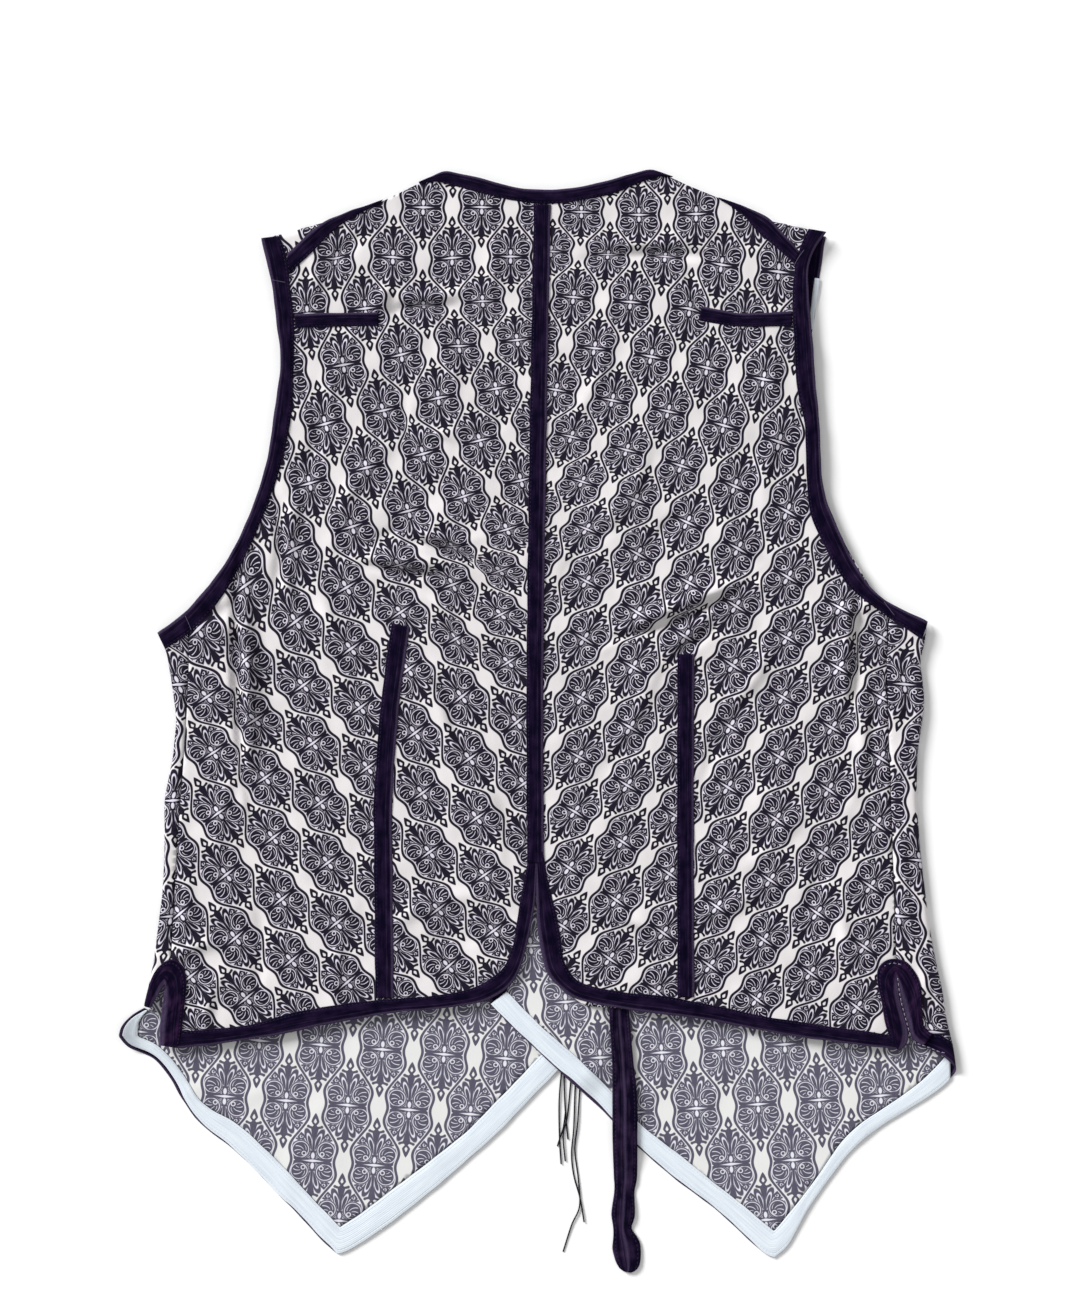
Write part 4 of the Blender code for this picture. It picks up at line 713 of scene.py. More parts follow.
@dataclass(frozen=True)
class FrontSide:
    """One front: flat on the table, and turned over at its side and shoulder folds."""

    side: Side
    notch: float
    fold_line: Path

    @property
    def fold(self) -> SideFold:
        """The side fold of this front."""
        return FOLDS[self.side]

    @property
    def outward(self) -> Pair:
        """The direction in plan that points out over the shoulder fold."""
        start, end = self.fold_line
        run = math.dist(start, end)
        along = ((end[0] - start[0]) / run, (end[1] - start[1]) / run)
        return (-along[1] * self.side.value, along[0] * self.side.value)

    @property
    def shoulder(self) -> Pair:
        """A point on the line where the shoulder fold starts to turn."""
        start = self.fold_line[0]
        return (start[0] - self.outward[0] * FOLD_RADIUS, start[1] - self.outward[1] * FOLD_RADIUS)

    def line(self, y: np.ndarray) -> np.ndarray:
        """Return how far the side fold's straight part ends from the centre line."""
        return self.fold.reach(y) - FOLD_RADIUS

    def past_shoulder(self, x: np.ndarray, y: np.ndarray) -> np.ndarray:
        """Return how far each place lies out over the shoulder fold line."""
        return (x - self.shoulder[0]) * self.outward[0] + (y - self.shoulder[1]) * self.outward[1]

    def unfold_side(self, path: Path | np.ndarray) -> np.ndarray:
        """Return where a path on the upper side lies before the side fold is made."""
        x, y = np.asarray(path, float)[:, :2].T
        reach = 2 * self.line(y) + HALF_TURN - self.side.value * x
        return np.column_stack([self.side.value * reach, y])

    def unfold_tip(self, path: Path) -> np.ndarray:
        """Return where a path on the upper side lies before the shoulder fold is made."""
        points = np.asarray(path, float)
        move = HALF_TURN - 2.0 * self.past_shoulder(points[:, 0], points[:, 1])
        return points + np.outer(move, self.outward)

    def rise(self, x: np.ndarray, y: np.ndarray) -> np.ndarray:
        """Return how high the cloth's underside is above the table."""
        lift = np.maximum(creases(FRONT_CREASES, x, y, FRONT_CUT, CREASE_BOW), 0.0)
        if self.side is Side.LEFT:
            curl = np.interp(-x - CURL_START, *smooth(CURL).T)
            return lift * soft_step((x + CALM_CORNER) / CALM_CORNER_RUN) + curl
        past = (x - TAIL_CORNER[0]) * TAIL_NORMAL[0] + (y - TAIL_CORNER[1]) * TAIL_NORMAL[1]
        part = np.minimum((CENTRE_END - x) / OVERLAP_SLOPE, (TAIL_END - past) / OVERLAP_SLOPE)
        return lift + OVERLAP_RISE * soft_step(part)

    def _rolled(self, past: np.ndarray, radius: np.ndarray) -> tuple[np.ndarray, np.ndarray, np.ndarray]:
        """Roll cloth round a fold.

        Args:
            past: how far each place lies past the fold line on the flat cloth.
            radius: its distance from the fold's own centre.

        Returns:
            The turn in radians, the reach past the fold line and the height.
        """
        turn = np.clip(past / MID_RADIUS, 0.0, math.pi)
        reach = radius * np.sin(turn) - np.maximum(past - HALF_TURN, 0.0)
        return turn, reach, FOLD_RADIUS - radius * np.cos(turn)

    def lay(self, x: np.ndarray, y: np.ndarray, height: np.ndarray) -> np.ndarray:
        """Fold points of the flat front into place.

        Args:
            x: places across the unfolded front.
            y: places up the body.
            height: how far above the cloth's outer face each one is.

        Returns:
            The points in millimetres, one row each.
        """
        sign = self.side.value
        line = self.line(y)
        past = sign * x - line
        radius = FOLD_RADIUS - height
        points = np.column_stack([x, y, self.rise(x, y) + height])

        strip = (past > 0.0) & (y > self.notch) & (y < FOLD_TOP)
        turn, reach, z = self._rolled(past, radius)
        strip_x = sign * (line + reach)
        upper = UPPER.relief(strip_x, y) * (turn > math.pi / 2)
        points[strip] = np.column_stack([strip_x, y, z + upper])[strip]

        over = self.past_shoulder(x, y)
        tip = (over > 0.0) & (x * sign > self.shoulder[0] * sign) & (y > TIP_LEVEL)
        _, reach, z = self._rolled(over, radius)
        tip_x = x + self.outward[0] * (reach - over)
        tip_y = y + self.outward[1] * (reach - over)
        upper = UPPER.relief(tip_x, tip_y) * np.clip(over / HALF_TURN - 0.5, 0.0, 0.5) * 2.0
        points[tip] = np.column_stack([tip_x, tip_y, z + upper])[tip]
        return points


FRONTS = {
    Side.LEFT: FrontSide(Side.LEFT, NOTCH_LEFT, SHOULDER_LEFT),
    Side.RIGHT: FrontSide(Side.RIGHT, NOTCH_RIGHT, SHOULDER_RIGHT),
}


class Field:
    """A number that varies over the cloth, held by the output of a shader node."""

    def __init__(self, tree: bpy.types.NodeTree, socket: bpy.types.NodeSocket) -> None:
        """Keep the node tree and the output that holds the number."""
        self.tree = tree
        self.socket = socket

    def math(self, operation: str, *terms: "Field | float", clamp: bool = False) -> "Field":
        """Work out a new number from this one.

        Args:
            operation: the Math node's operation.
            terms: the second and third numbers, where the operation has them.
            clamp: keep the result from 0 to 1.

        Returns:
            The new number.
        """
        node = self.tree.nodes.new("ShaderNodeMath")
        node.operation = operation
        node.use_clamp = clamp
        for entry, term in zip(node.inputs, (self, *terms)):
            if isinstance(term, Field):
                self.tree.links.new(term.socket, entry)
            else:
                entry.default_value = float(term)
        return Field(self.tree, node.outputs[0])

    def __add__(self, other: "Field | float") -> "Field":
        """Add a number."""
        return self.math("ADD", other)

    def __sub__(self, other: "Field | float") -> "Field":
        """Take a number away."""
        return self.math("SUBTRACT", other)

    def __mul__(self, other: "Field | float") -> "Field":
        """Multiply by a number."""
        return self.math("MULTIPLY", other)

    def less_from(self, whole: float) -> "Field":
        """Return whole minus this number."""
        return self.math("MULTIPLY_ADD", -1.0, whole)

    def size(self) -> "Field":
        """Return the number without its sign."""
        return self.math("ABSOLUTE")

    def wrap(self, half: float) -> "Field":
        """Fold the number into the range from -half to half."""
        return self.math("WRAP", half, -half)

    def most(self, other: "Field | float") -> "Field":
        """Return the larger of two numbers."""
        return self.math("MAXIMUM", other)

    def least(self, other: "Field | float") -> "Field":
        """Return the smaller of two numbers."""
        return self.math("MINIMUM", other)

    def within(self, limit: float, soft: float = 0.5) -> "Field":
        """Return 1 where the number is below a limit and 0 above it, with a soft change."""
        return self.math("MULTIPLY_ADD", -1.0 / soft, limit / soft + 0.5, clamp=True)

    def hypot(self, other: "Field") -> "Field":
        """Return the distance that this number and another one make."""
        return (self * self + other * other).math("SQRT")


@dataclass
class Cloth:
    """A material that is being made: its node tree and its shader."""

    name: str

    def __post_init__(self) -> None:
        """Make the empty material."""
        self.material = bpy.data.materials.new(self.name)
        self.material.use_nodes = True
        self.tree = self.material.node_tree
        self.shader = self.tree.nodes["Principled BSDF"]

    def uv(self, layer: str) -> tuple[Field, Field, bpy.types.NodeSocket]:
        """Read a UV layer.

        Args:
            layer: the layer's name.

        Returns:
            The two coordinates, and the socket that has both.
        """
        source = self.tree.nodes.new("ShaderNodeUVMap")
        source.uv_map = layer
        split = self.tree.nodes.new("ShaderNodeSeparateXYZ")
        self.tree.links.new(source.outputs[0], split.inputs[0])
        return Field(self.tree, split.outputs[0]), Field(self.tree, split.outputs[1]), source.outputs[0]

    def noise(self, place: bpy.types.NodeSocket, scale: Triple, detail: float = 2.0) -> Field:
        """Return a soft random pattern.

        Args:
            place: the coordinates.
            scale: how much they are multiplied by, along each axis.
            detail: how many finer layers the pattern has.

        Returns:
            The pattern, from 0 to 1.
        """
        mapping = self.tree.nodes.new("ShaderNodeMapping")
        mapping.inputs["Scale"].default_value = scale
        self.tree.links.new(place, mapping.inputs["Vector"])
        node = self.tree.nodes.new("ShaderNodeTexNoise")
        node.inputs["Scale"].default_value = 1.0
        node.inputs["Detail"].default_value = detail
        self.tree.links.new(mapping.outputs[0], node.inputs["Vector"])
        return Field(self.tree, node.outputs["Fac"])

    def mix(self, amount: Field, low: Triple | bpy.types.NodeSocket,
            high: Triple | bpy.types.NodeSocket) -> bpy.types.NodeSocket:
        """Blend two colours.

        Args:
            amount: 0 for the first colour, 1 for the second.
            low: the first colour, or a socket that has it.
            high: the second colour, or a socket that has it.

        Returns:
            The socket with the blend.
        """
        node = self.tree.nodes.new("ShaderNodeMix")
        node.data_type = "RGBA"
        self.tree.links.new(amount.socket, node.inputs["Factor"])
        for entry, colour in ((node.inputs[6], low), (node.inputs[7], high)):
            if isinstance(colour, bpy.types.NodeSocket):
                self.tree.links.new(colour, entry)
            else:
                entry.default_value = (*colour, 1.0)
        return node.outputs[2]

    def raise_by(self, height: Field, distance: float, strength: float = 1.0) -> None:
        """Bump the surface by a height from 0 to 1, times a distance in metres."""
        bump = self.tree.nodes.new("ShaderNodeBump")
        bump.inputs["Distance"].default_value = distance
        bump.inputs["Strength"].default_value = strength
        self.tree.links.new(height.socket, bump.inputs["Height"])
        self.tree.links.new(bump.outputs[0], self.shader.inputs["Normal"])

    def gloss(self, rough: float, sheen: float, sheen_rough: float, tint: Triple, specular: float) -> None:
        """Set the shader's plain values for roughness, sheen and gloss."""
        self.shader.inputs["Roughness"].default_value = rough
        self.shader.inputs["Sheen Weight"].default_value = sheen
        self.shader.inputs["Sheen Roughness"].default_value = sheen_rough
        self.shader.inputs["Sheen Tint"].default_value = (*tint, 1.0)
        self.shader.inputs["Specular IOR Level"].default_value = specular


@dataclass(frozen=True)
class Damask:
    """The printed ogee pattern, drawn in fine units: 60 across one repeat, 118 along it."""

    half_column: float = 15.0
    half_repeat: float = 59.0
    swings: Triple = (8.7, -2.4, -0.5)
    flatness: float = 0.92
    line: float = 1.3
    clear: float = 2.1
    wobble: float = 0.8
    drift_scale: Triple = (1.1, 3.3, 1.0)
    slip_scale: Triple = (1.7, 4.1, 7.0)
    bleed_height: float = 31.0
    leaf: float = 0.135
    leaf_middle: float = 17.4
    leaf_half: float = 12.8
    leaf_bend: float = 0.004
    leaf_start: float = 0.13
    leaf_edge: float = 1.22
    leaf_ring: float = 0.72
    midrib: float = 0.6
    bud: Pair = (12.4, 24.3)
    bud_radius: float = 3.2
    bud_ring: float = 1.35
    lobe: Pair = (12.5, 11.0)
    lobe_radius: float = 9.7
    rim_radius: float = 8.0
    eye: Pair = (8.8, 7.2)
    eye_radius: float = 1.9
    rim_half: float = 0.38
    ring_half: float = 0.45
    vein_turn: float = 0.32
    vein_half: float = 0.054
    vein_ends: Pair = (3.9, 5.9)
    spindle_half: float = 1.35
    drop_at: float = 5.2
    drop_half: Pair = (1.7, 3.1)
    notch_at: float = 17.1
    notch_slope: float = 0.62
    core: Pair = (2.9, 10.4)
    bar_half: float = 2.2
    stem: float = 1.3
    stem_ends: Pair = (9.0, 30.0)
    arms_at: float = 33.5
    arms_half: float = 7.1
    arms_thick: float = 1.35
    knob: Pair = (6.6, 34.9)
    knob_radius: float = 1.5
    body_at: float = 33.4
    body_half: float = 3.9
    almond_at: float = 40.0
    almond_half: float = 3.9
    almond_ends: Pair = (8.6, 4.6)

    def ink(self, cloth: Cloth) -> tuple[Field, Field]:
        """Draw the pattern.

        Args:
            cloth: the material that gets the nodes.

        Returns:
            1 where the cloth is inked and 0 on its plain ground, and how much ink bleeds into the ground.
        """
        u, v, place = cloth.uv("print")
        drift = cloth.noise(place, self.drift_scale) - 0.5
        slip = cloth.noise(place, self.slip_scale) - 0.5
        across = u * (2 * self.half_column) + drift * self.wobble
        along = v * (2 * self.half_repeat) + slip * (2.0 * self.wobble)
        phase = along * (math.pi / self.half_repeat)
        swing = phase.math("COSINE") * self.swings[0]
        swing = swing + (phase * 3.0).math("COSINE") * self.swings[1]
        swing = swing + (phase * 5.0).math("COSINE") * self.swings[2]
        folded = across.wrap(2 * self.half_column).size()
        own = (folded - swing).math("LESS_THAN", self.half_column)
        other = own.less_from(1.0)
        aside = folded.less_from(2 * self.half_column) + own * (folded * 2.0 - 2 * self.half_column)
        up = (along + other * self.half_repeat).wrap(self.half_repeat).size()
        inset = (folded - swing - self.half_column).size() * self.flatness

        ink = self._fan(aside, up)
        ink = self._lobes(ink, aside, up)
        ink = self._cross(ink, aside, up)
        ink = ink.least(inset.within(self.clear).less_from(1.0))
        bleed = up.within(self.bleed_height, 5.0).least(inset.within(2.0, 0.6).less_from(1.0) + 0.45)
        return ink.most(self._finial(aside, up)).most(inset.within(self.line)), bleed

    def _fan(self, aside: Field, up: Field) -> Field:
        """Draw the fan of leaves above a medallion's middle, and the bud beside it."""
        rise = up - 1.0
        far = aside.hypot(rise)
        angle = aside.math("ARCTAN2", rise)
        bent = (angle - far * self.leaf_bend - self.leaf_start).wrap(self.leaf) * (1.0 / self.leaf)
        shape = bent.hypot((far - self.leaf_middle) * (1.0 / self.leaf_half))
        ring = (shape - self.leaf_ring).size().within(0.10, 0.1)
        beside = (aside - up * 0.055).within(self.midrib)
        leaves = shape.within(self.leaf_edge, 0.12).least(ring.less_from(1.0)).least(beside.less_from(1.0))
        bud = (aside - self.bud[0]).hypot(up - self.bud[1])
        ring = (bud - self.bud_ring).size().within(0.4)
        return leaves.most(bud.within(self.bud_radius).least(ring.less_from(1.0)))

    def _lobes(self, base: Field, aside: Field, up: Field) -> Field:
        """Draw a medallion's round lobes: a light rim, an eye, and veins that fan out from it."""
        far = (aside - self.lobe[0]).hypot(up - self.lobe[1])
        rim = (far - self.rim_radius).size().within(self.rim_half)
        eye_aside = aside - self.eye[0]
        eye_up = up - self.eye[1]
        eye = eye_aside.hypot(eye_up)
        ring = (eye - self.eye_radius).size().within(self.ring_half)
        turn = eye_up.math("ARCTAN2", eye_aside)
        vein = (turn + eye * 0.1 + 0.12).wrap(self.vein_turn).size().within(self.vein_half, 0.05)
        vein = vein.least(far.within(self.vein_ends[1])).least(eye.within(self.vein_ends[0]).less_from(1.0))
        light = rim.most(ring).most(vein)
        lobe = far.within(self.lobe_radius)
        return base.least(lobe.less_from(1.0)).most(lobe.least(light.less_from(1.0)))

    def _cross(self, base: Field, aside: Field, up: Field) -> Field:
        """Draw the light cross at a medallion's middle, the notches at its sides and its stem."""
        spindle = (up + aside * 0.13).within(self.spindle_half)
        drop = (aside * (1 / self.drop_half[0])).hypot((up - self.drop_at) * (1 / self.drop_half[1]))
        drop = drop.within(1.0, 0.25)
        notch = (up - (aside - self.notch_at) * self.notch_slope).within(0.0)
        dark = (aside - self.core[0]).within(0.0).least(up.within(self.core[1]))
        bar = (up - aside * 0.07).within(self.bar_half)
        light = spindle.most(drop).most(notch)
        low, high = self.stem_ends
        stem = aside.within(self.stem).least(up.within(high)).least(up.within(low).less_from(1.0))
        return base.most(dark).most(bar).least(light.less_from(1.0)).most(stem)

    def _finial(self, aside: Field, up: Field) -> Field:
        """Draw the cross arms and the almond above and below a medallion."""
        arms = (up - self.arms_at - aside * aside * 0.03).size().within(self.arms_thick)
        arms = arms.least(aside.within(self.arms_half))
        knob = (aside - self.knob[0]).hypot(up - self.knob[1]).within(self.knob_radius)
        slope = (up.less_from(self.body_at) * 0.2).most((up - self.body_at) * 0.8)
        body = (aside + slope).within(self.body_half).least(aside.within(self.body_half))
        over = up - self.almond_at
        reach = (over * (1 / self.almond_ends[0])).most(over * (-1 / self.almond_ends[1]))
        width = (aside * (1 / self.almond_half)).math("POWER", 1.25)
        almond = (width + reach.math("POWER", 1.25) - 0.66).size().within(0.37, 0.1)
        return arms.most(knob).most(body).most(almond)


@dataclass(frozen=True)
class PrintFinish:
    """Printed cotton: its ground, its ink and its weave."""

    name: str
    ground: Triple
    ground_worn: Triple
    ink: Triple
    ink_worn: Triple
    bled: Triple
    thread: float = 0.00055
    thread_height: float = 0.00009
    slub_scale: Triple = (900.0, 260.0, 1.0)
    patch_scale: Triple = (38.0, 38.0, 1.0)

    def make(self) -> bpy.types.Material:
        """Make the material."""
        cloth = Cloth(self.name)
        u, v, weave = cloth.uv("weave")
        ink, bleed = Damask().ink(cloth)
        slub = cloth.noise(weave, self.slub_scale, 3.0)
        patch = cloth.noise(weave, self.patch_scale)
        ground = cloth.mix(patch, self.ground, self.ground_worn)
        ground = cloth.mix(bleed, ground, self.bled)
        printed = cloth.mix(slub, self.ink, self.ink_worn)
        colour = cloth.mix(ink, ground, printed)
        cloth.tree.links.new(colour, cloth.shader.inputs["Base Color"])
        warp = (u * (2 * math.pi / self.thread)).math("SINE")
        weft = (v * (2 * math.pi / self.thread)).math("SINE")
        cloth.raise_by((warp * weft) * 0.25 + slub, self.thread_height, 0.5)
        cloth.gloss(0.85, 0.03, 0.5, (0.9, 0.9, 1.0), 0.14)
        return cloth.material


@dataclass(frozen=True)
class VelvetFinish:
    """Pile velvet: deep, with painted sheen streaks, a painted highlight along its rims and one fold line,
    and stitches along each edge.
    """

    name: str
    deep: Triple
    # lit: the lighter colour of the painted sheen streaks, where the pile is shown catching the light
    lit: Triple
    # rim: the colour of the painted highlight along the edges and the fold line, and also of the stitches
    rim: Triple = (0.078, 0.055, 0.112)
    glow: float = 0.42
    highlight_at: float = 0.0
    highlight_reach: float = 0.13
    stitch: float = 2.6
    stitch_inset: float = 0.12
    crease_at: float = 0.42
    pile_height: float = 0.0005
    streak_scale: Triple = (7.0, 0.045, 1.0)
    nap_scale: Triple = (24.0, 1.9, 1.0)
    blotch_scale: Triple = (1.6, 0.09, 1.0)

    def make(self) -> bpy.types.Material:
        """Make the material."""
        cloth = Cloth(self.name)
        t, s, place = cloth.uv("ribbon")
        streaks = cloth.noise(place, self.streak_scale, 3.0)
        nap = cloth.noise(place, self.nap_scale, 3.0)
        blotch = cloth.noise(place, self.blotch_scale)
        # Painted sheen: lengthwise streaks are mixed from the deep colour towards the lit one
        painted_sheen = (streaks * blotch * 2.4 - self.glow).math("MULTIPLY", 1.6, clamp=True)
        colour = cloth.mix(painted_sheen, self.deep, self.lit)
        hem = (t - 0.5).size().less_from(0.5)
        # Painted highlight: along both edges at half strength, along the edge zone at highlight_at, and
        # along a wandering fold line at crease_at, broken up by the nap
        line = (t + streaks * 0.12 - self.crease_at).size().within(0.012, 0.03) * (blotch * 1.6 - 0.45)
        painted_highlight = hem.within(0.02, 0.05) * 0.5
        painted_highlight = painted_highlight.most((t - self.highlight_at).size().within(self.highlight_reach, 0.12)).most(line)
        colour = cloth.mix((painted_highlight * (nap * 1.7 - 0.25)).math("MULTIPLY", 0.9, clamp=True), colour, self.rim)
        seam = (hem - self.stitch_inset).size()
        dash = (s * (2 * math.pi / self.stitch)).math("SINE").less_from(1.0).within(0.9, 0.3)
        colour = cloth.mix(seam.within(0.02, 0.02) * dash * 0.22, colour, self.rim)
        cloth.tree.links.new(colour, cloth.shader.inputs["Base Color"])
        height = nap * 0.6 + streaks + seam.within(0.035, 0.03) * -0.8
        cloth.raise_by(height, self.pile_height, 0.5)
        cloth.gloss(0.92, 0.02, 0.4, (0.36, 0.26, 0.52), 0.045)
        return cloth.material


@dataclass(frozen=True)
class TapeFinish:
    """Pale woven tape with fine lengthwise ribs and a line of stitches at each edge."""

    name: str
    light: Triple
    shade: Triple
    stitch: float = 2.4
    stitch_inset: float = 0.12
    stitch_dark: float = 0.62
    ribs: float = 90.0
    rib_height: float = 0.00022
    grain_scale: Triple = (26.0, 0.9, 1.0)
    patch_scale: Triple = (1.4, 0.05, 1.0)
    streak_scale: Triple = (15.0, 0.03, 1.0)

    def make(self) -> bpy.types.Material:
        """Make the material."""
        cloth = Cloth(self.name)
        t, s, place = cloth.uv("ribbon")
        grain = cloth.noise(place, self.grain_scale, 3.0)
        patch = cloth.noise(place, self.patch_scale)
        streak = cloth.noise(place, self.streak_scale, 3.0)
        tint = (grain * 0.5 + patch * 0.4 + streak * 1.6 - 0.75).math("MULTIPLY", 1.0, clamp=True)
        colour = cloth.mix(tint, self.light, self.shade)
        edge = ((t - 0.5).size() - (0.5 - self.stitch_inset)).size()
        dash = (s * (2 * math.pi / self.stitch)).math("SINE").within(0.2, 0.4)
        sewn = edge.within(0.02, 0.02) * dash
        stitched = cloth.mix(sewn * 0.3, colour, tuple(self.stitch_dark * part for part in self.shade))
        cloth.tree.links.new(stitched, cloth.shader.inputs["Base Color"])
        ribs = (t * self.ribs).math("SINE") * 0.3
        cloth.raise_by(grain + ribs + edge.within(0.03, 0.03) * -0.6, self.rib_height, 0.6)
        cloth.gloss(0.75, 0.1, 0.4, (1.0, 1.0, 1.0), 0.3)
        return cloth.material


@dataclass(frozen=True)
class ThreadFinish:
    """Twisted sewing thread."""

    name: str
    colour: Triple
    lit: Triple
    ply: float = 9.0
    ply_height: float = 0.00012

    def make(self) -> bpy.types.Material:
        """Make the material."""
        cloth = Cloth(self.name)
        t, s, _ = cloth.uv("ribbon")
        # Painted highlight: the crest of each ply along the twist is mixed towards the lit colour
        twist = (t * (2 * math.pi) + s * self.ply).math("SINE") * 0.5 + 0.5
        colour = cloth.mix(twist, self.colour, self.lit)
        cloth.tree.links.new(colour, cloth.shader.inputs["Base Color"])
        cloth.raise_by(twist, self.ply_height, 0.6)
        cloth.gloss(0.8, 0.04, 0.4, (0.6, 0.6, 0.8), 0.15)
        return cloth.material


OUTSIDE = PrintFinish("printed_cotton_outside", (0.74, 0.705, 0.71), (0.68, 0.655, 0.66),
                      (0.0058, 0.0040, 0.0118), (0.0110, 0.0080, 0.0205), (0.655, 0.62, 0.71))
INSIDE = PrintFinish("printed_cotton_inside", (0.75, 0.745, 0.735), (0.69, 0.69, 0.69),
                     (0.066, 0.062, 0.094), (0.115, 0.108, 0.152), (0.71, 0.71, 0.77))
VELVET = VelvetFinish("velvet_ribbon", (0.0022, 0.0010, 0.0092), (0.015, 0.007, 0.029))
# The vent's painted highlight runs along its slit side, the strap's along its middle
VENT_VELVET = VelvetFinish("velvet_vent", (0.0034, 0.0015, 0.0115), (0.034, 0.012, 0.046), glow=0.52,
                           highlight_at=1.0, highlight_reach=0.24)
STRAP_VELVET = VelvetFinish("velvet_strap", (0.0028, 0.0013, 0.0100), (0.030, 0.016, 0.048), glow=0.46,
                            highlight_at=0.5, highlight_reach=0.035)
TAPE_FINISH = TapeFinish("pale_tape", (0.80, 0.85, 0.90), (0.58, 0.65, 0.73))
THREAD_FINISH = ThreadFinish("dark_thread", (0.003, 0.002, 0.006), (0.012, 0.010, 0.018))
STITCH_FINISH = ThreadFinish("stitch_thread", (0.16, 0.13, 0.21), (0.46, 0.42, 0.52))
JOIN_FINISH = ThreadFinish("join_thread", (0.05, 0.04, 0.075), (0.13, 0.11, 0.17))


@dataclass
class MeshDraft:
    """A mesh in the making: points in millimetres, faces and flat coordinates."""

    points: np.ndarray
    faces: list[tuple[int, ...]]
    layers: dict[str, np.ndarray]
    slots: list[int] | None = None

    def finish(self, name: str, materials: list[bpy.types.Material], nodes: list[str],
               slot: str) -> bpy.types.Object:
        """Make the object and seat it in the frame.

        Args:
            name: the piece's name.
            materials: its materials, in the order of the face slots.
            nodes: the solids that it stands for.
            slot: not used.

        Returns:
            The finished object.
        """
        mesh = bpy.data.meshes.new(name)
        mesh.from_pydata((self.points * MM).tolist(), [], self.faces)
        loops = np.empty(len(mesh.loops), dtype=np.int32)
        mesh.loops.foreach_get("vertex_index", loops)
        for layer, places in self.layers.items():
            flat = places[loops].astype(np.float32).ravel()
            mesh.uv_layers.new(name=layer).data.foreach_set("uv", flat)
        for material in materials:
            mesh.materials.append(material)
        if self.slots is not None:
            mesh.polygons.foreach_set("material_index", np.asarray(self.slots, dtype=np.int32))
        mesh.polygons.foreach_set("use_smooth", np.ones(len(mesh.polygons), dtype=bool))
        mesh.update()
        piece = bpy.data.objects.new(name, mesh)
        bpy.context.scene.collection.objects.link(piece)
        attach(piece, "root")
        if nodes:
            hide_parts(*nodes)
        log.info("%s: %d points, %d faces", name, len(self.points), len(self.faces))
        return piece


@dataclass(frozen=True)
class Panel:
    """A printed panel: a thin shell that is cut from flat cloth and laid on a surface."""

    name: str
    outline: np.ndarray
    low: float = 0.3
    high: float = 1.2
    pitch: float = 2.35
    rows: np.ndarray | None = None
    rows_near: float = 2.0
    rim_clear: float = 0.35
    block: int = 200

    def flat_points(self) -> tuple[np.ndarray, int]:
        """Spread points over the cut.

        Returns:
            The points, those of the outline first, and how many the outline has.
        """
        closed = np.vstack([self.outline, self.outline[:1]])
        rim = []
        for start, end in zip(closed, closed[1:]):
            count = max(int(math.ceil(math.dist(start, end) / self.pitch)), 1)
            rim.extend(start + (end - start) * step / count for step in range(count))
        rim = np.asarray(rim)
        low = rim.min(axis=0)
        high = rim.max(axis=0)
        rise = self.pitch * math.sqrt(0.75)
        rows = []
        for number in range(int((high[1] - low[1]) / rise) + 1):
            shift = self.pitch / 2 * (number % 2)
            xs = np.arange(low[0] + shift, high[0], self.pitch)
            rows.append(np.column_stack([xs, np.full_like(xs, low[1] + rise * number)]))
        inner = np.vstack(rows)
        if self.rows is not None:
            far = np.full(len(inner), np.inf)
            for block in np.array_split(self.rows, max(len(self.rows) // self.block, 1)):
                gap = np.hypot(inner[:, None, 0] - block[None, :, 0], inner[:, None, 1] - block[None, :, 1])
                far = np.minimum(far, gap.min(axis=1))
            inner = np.vstack([inner[far > self.rows_near], self.rows])
        inner = inner[self._inside(inner, rim)]
        return np.vstack([rim, inner]), len(rim)

    def _inside(self, points: np.ndarray, rim: np.ndarray) -> np.ndarray:
        """Tell which points lie inside the rim and clear of it."""
        x, y = points.T
        inside = np.zeros(len(points), dtype=bool)
        near = np.full(len(points), np.inf)
        for (x1, y1), (x2, y2) in zip(rim, np.roll(rim, -1, axis=0)):
            if y1 != y2:
                crosses = (y1 > y) != (y2 > y)
                inside ^= crosses & (x < (x2 - x1) * (y - y1) / (y2 - y1) + x1)
            near = np.minimum(near, (x - x1) ** 2 + (y - y1) ** 2)
        return inside & (near > (self.rim_clear * self.pitch) ** 2)

    def draft(self, surface: UpperSide | FrontSide, place_print: "PrintPlace") -> MeshDraft:
        """Build the shell.

        Args:
            surface: what the cloth is laid on.
            place_print: where the print lies on the cut.

        Returns:
            The mesh. Its underside and border have the first slot and its upper face the second.
        """
        flat, rim_count = self.flat_points()
        edges = [(number, (number + 1) % rim_count) for number in range(rim_count)]
        flat_out, _, faces, *_ = delaunay_2d_cdt([Vector(point) for point in flat], edges, [], 1, 1e-6)
        flat = np.asarray([tuple(point) for point in flat_out])
        count = len(flat)
        x, y = flat.T
        bottom = surface.lay(x, y, np.full(count, self.low))
        top = surface.lay(x, y, np.full(count, self.high))
        seams = [tuple(edge) for edge in self._border(faces)]
        shell = [tuple(reversed(face)) for face in faces]
        shell += [tuple(count + corner for corner in face) for face in faces]
        shell += [(start, end, end + count, start + count) for start, end in seams]
        slots = [0] * len(faces) + [1] * len(faces) + [0] * len(seams)
        layers = {"print": place_print.at(x, y), "weave": flat * MM}
        layers = {layer: np.vstack([places, places]) for layer, places in layers.items()}
        return MeshDraft(np.vstack([bottom, top]), shell, layers, slots)

    def _border(self, faces: list[list[int]]) -> list[tuple[int, int]]:
        """List the directed edges that only one face has."""
        directed = {(a, b) for face in faces for a, b in zip(face, [*face[1:], face[0]])}
        return [(a, b) for a, b in directed if (b, a) not in directed]


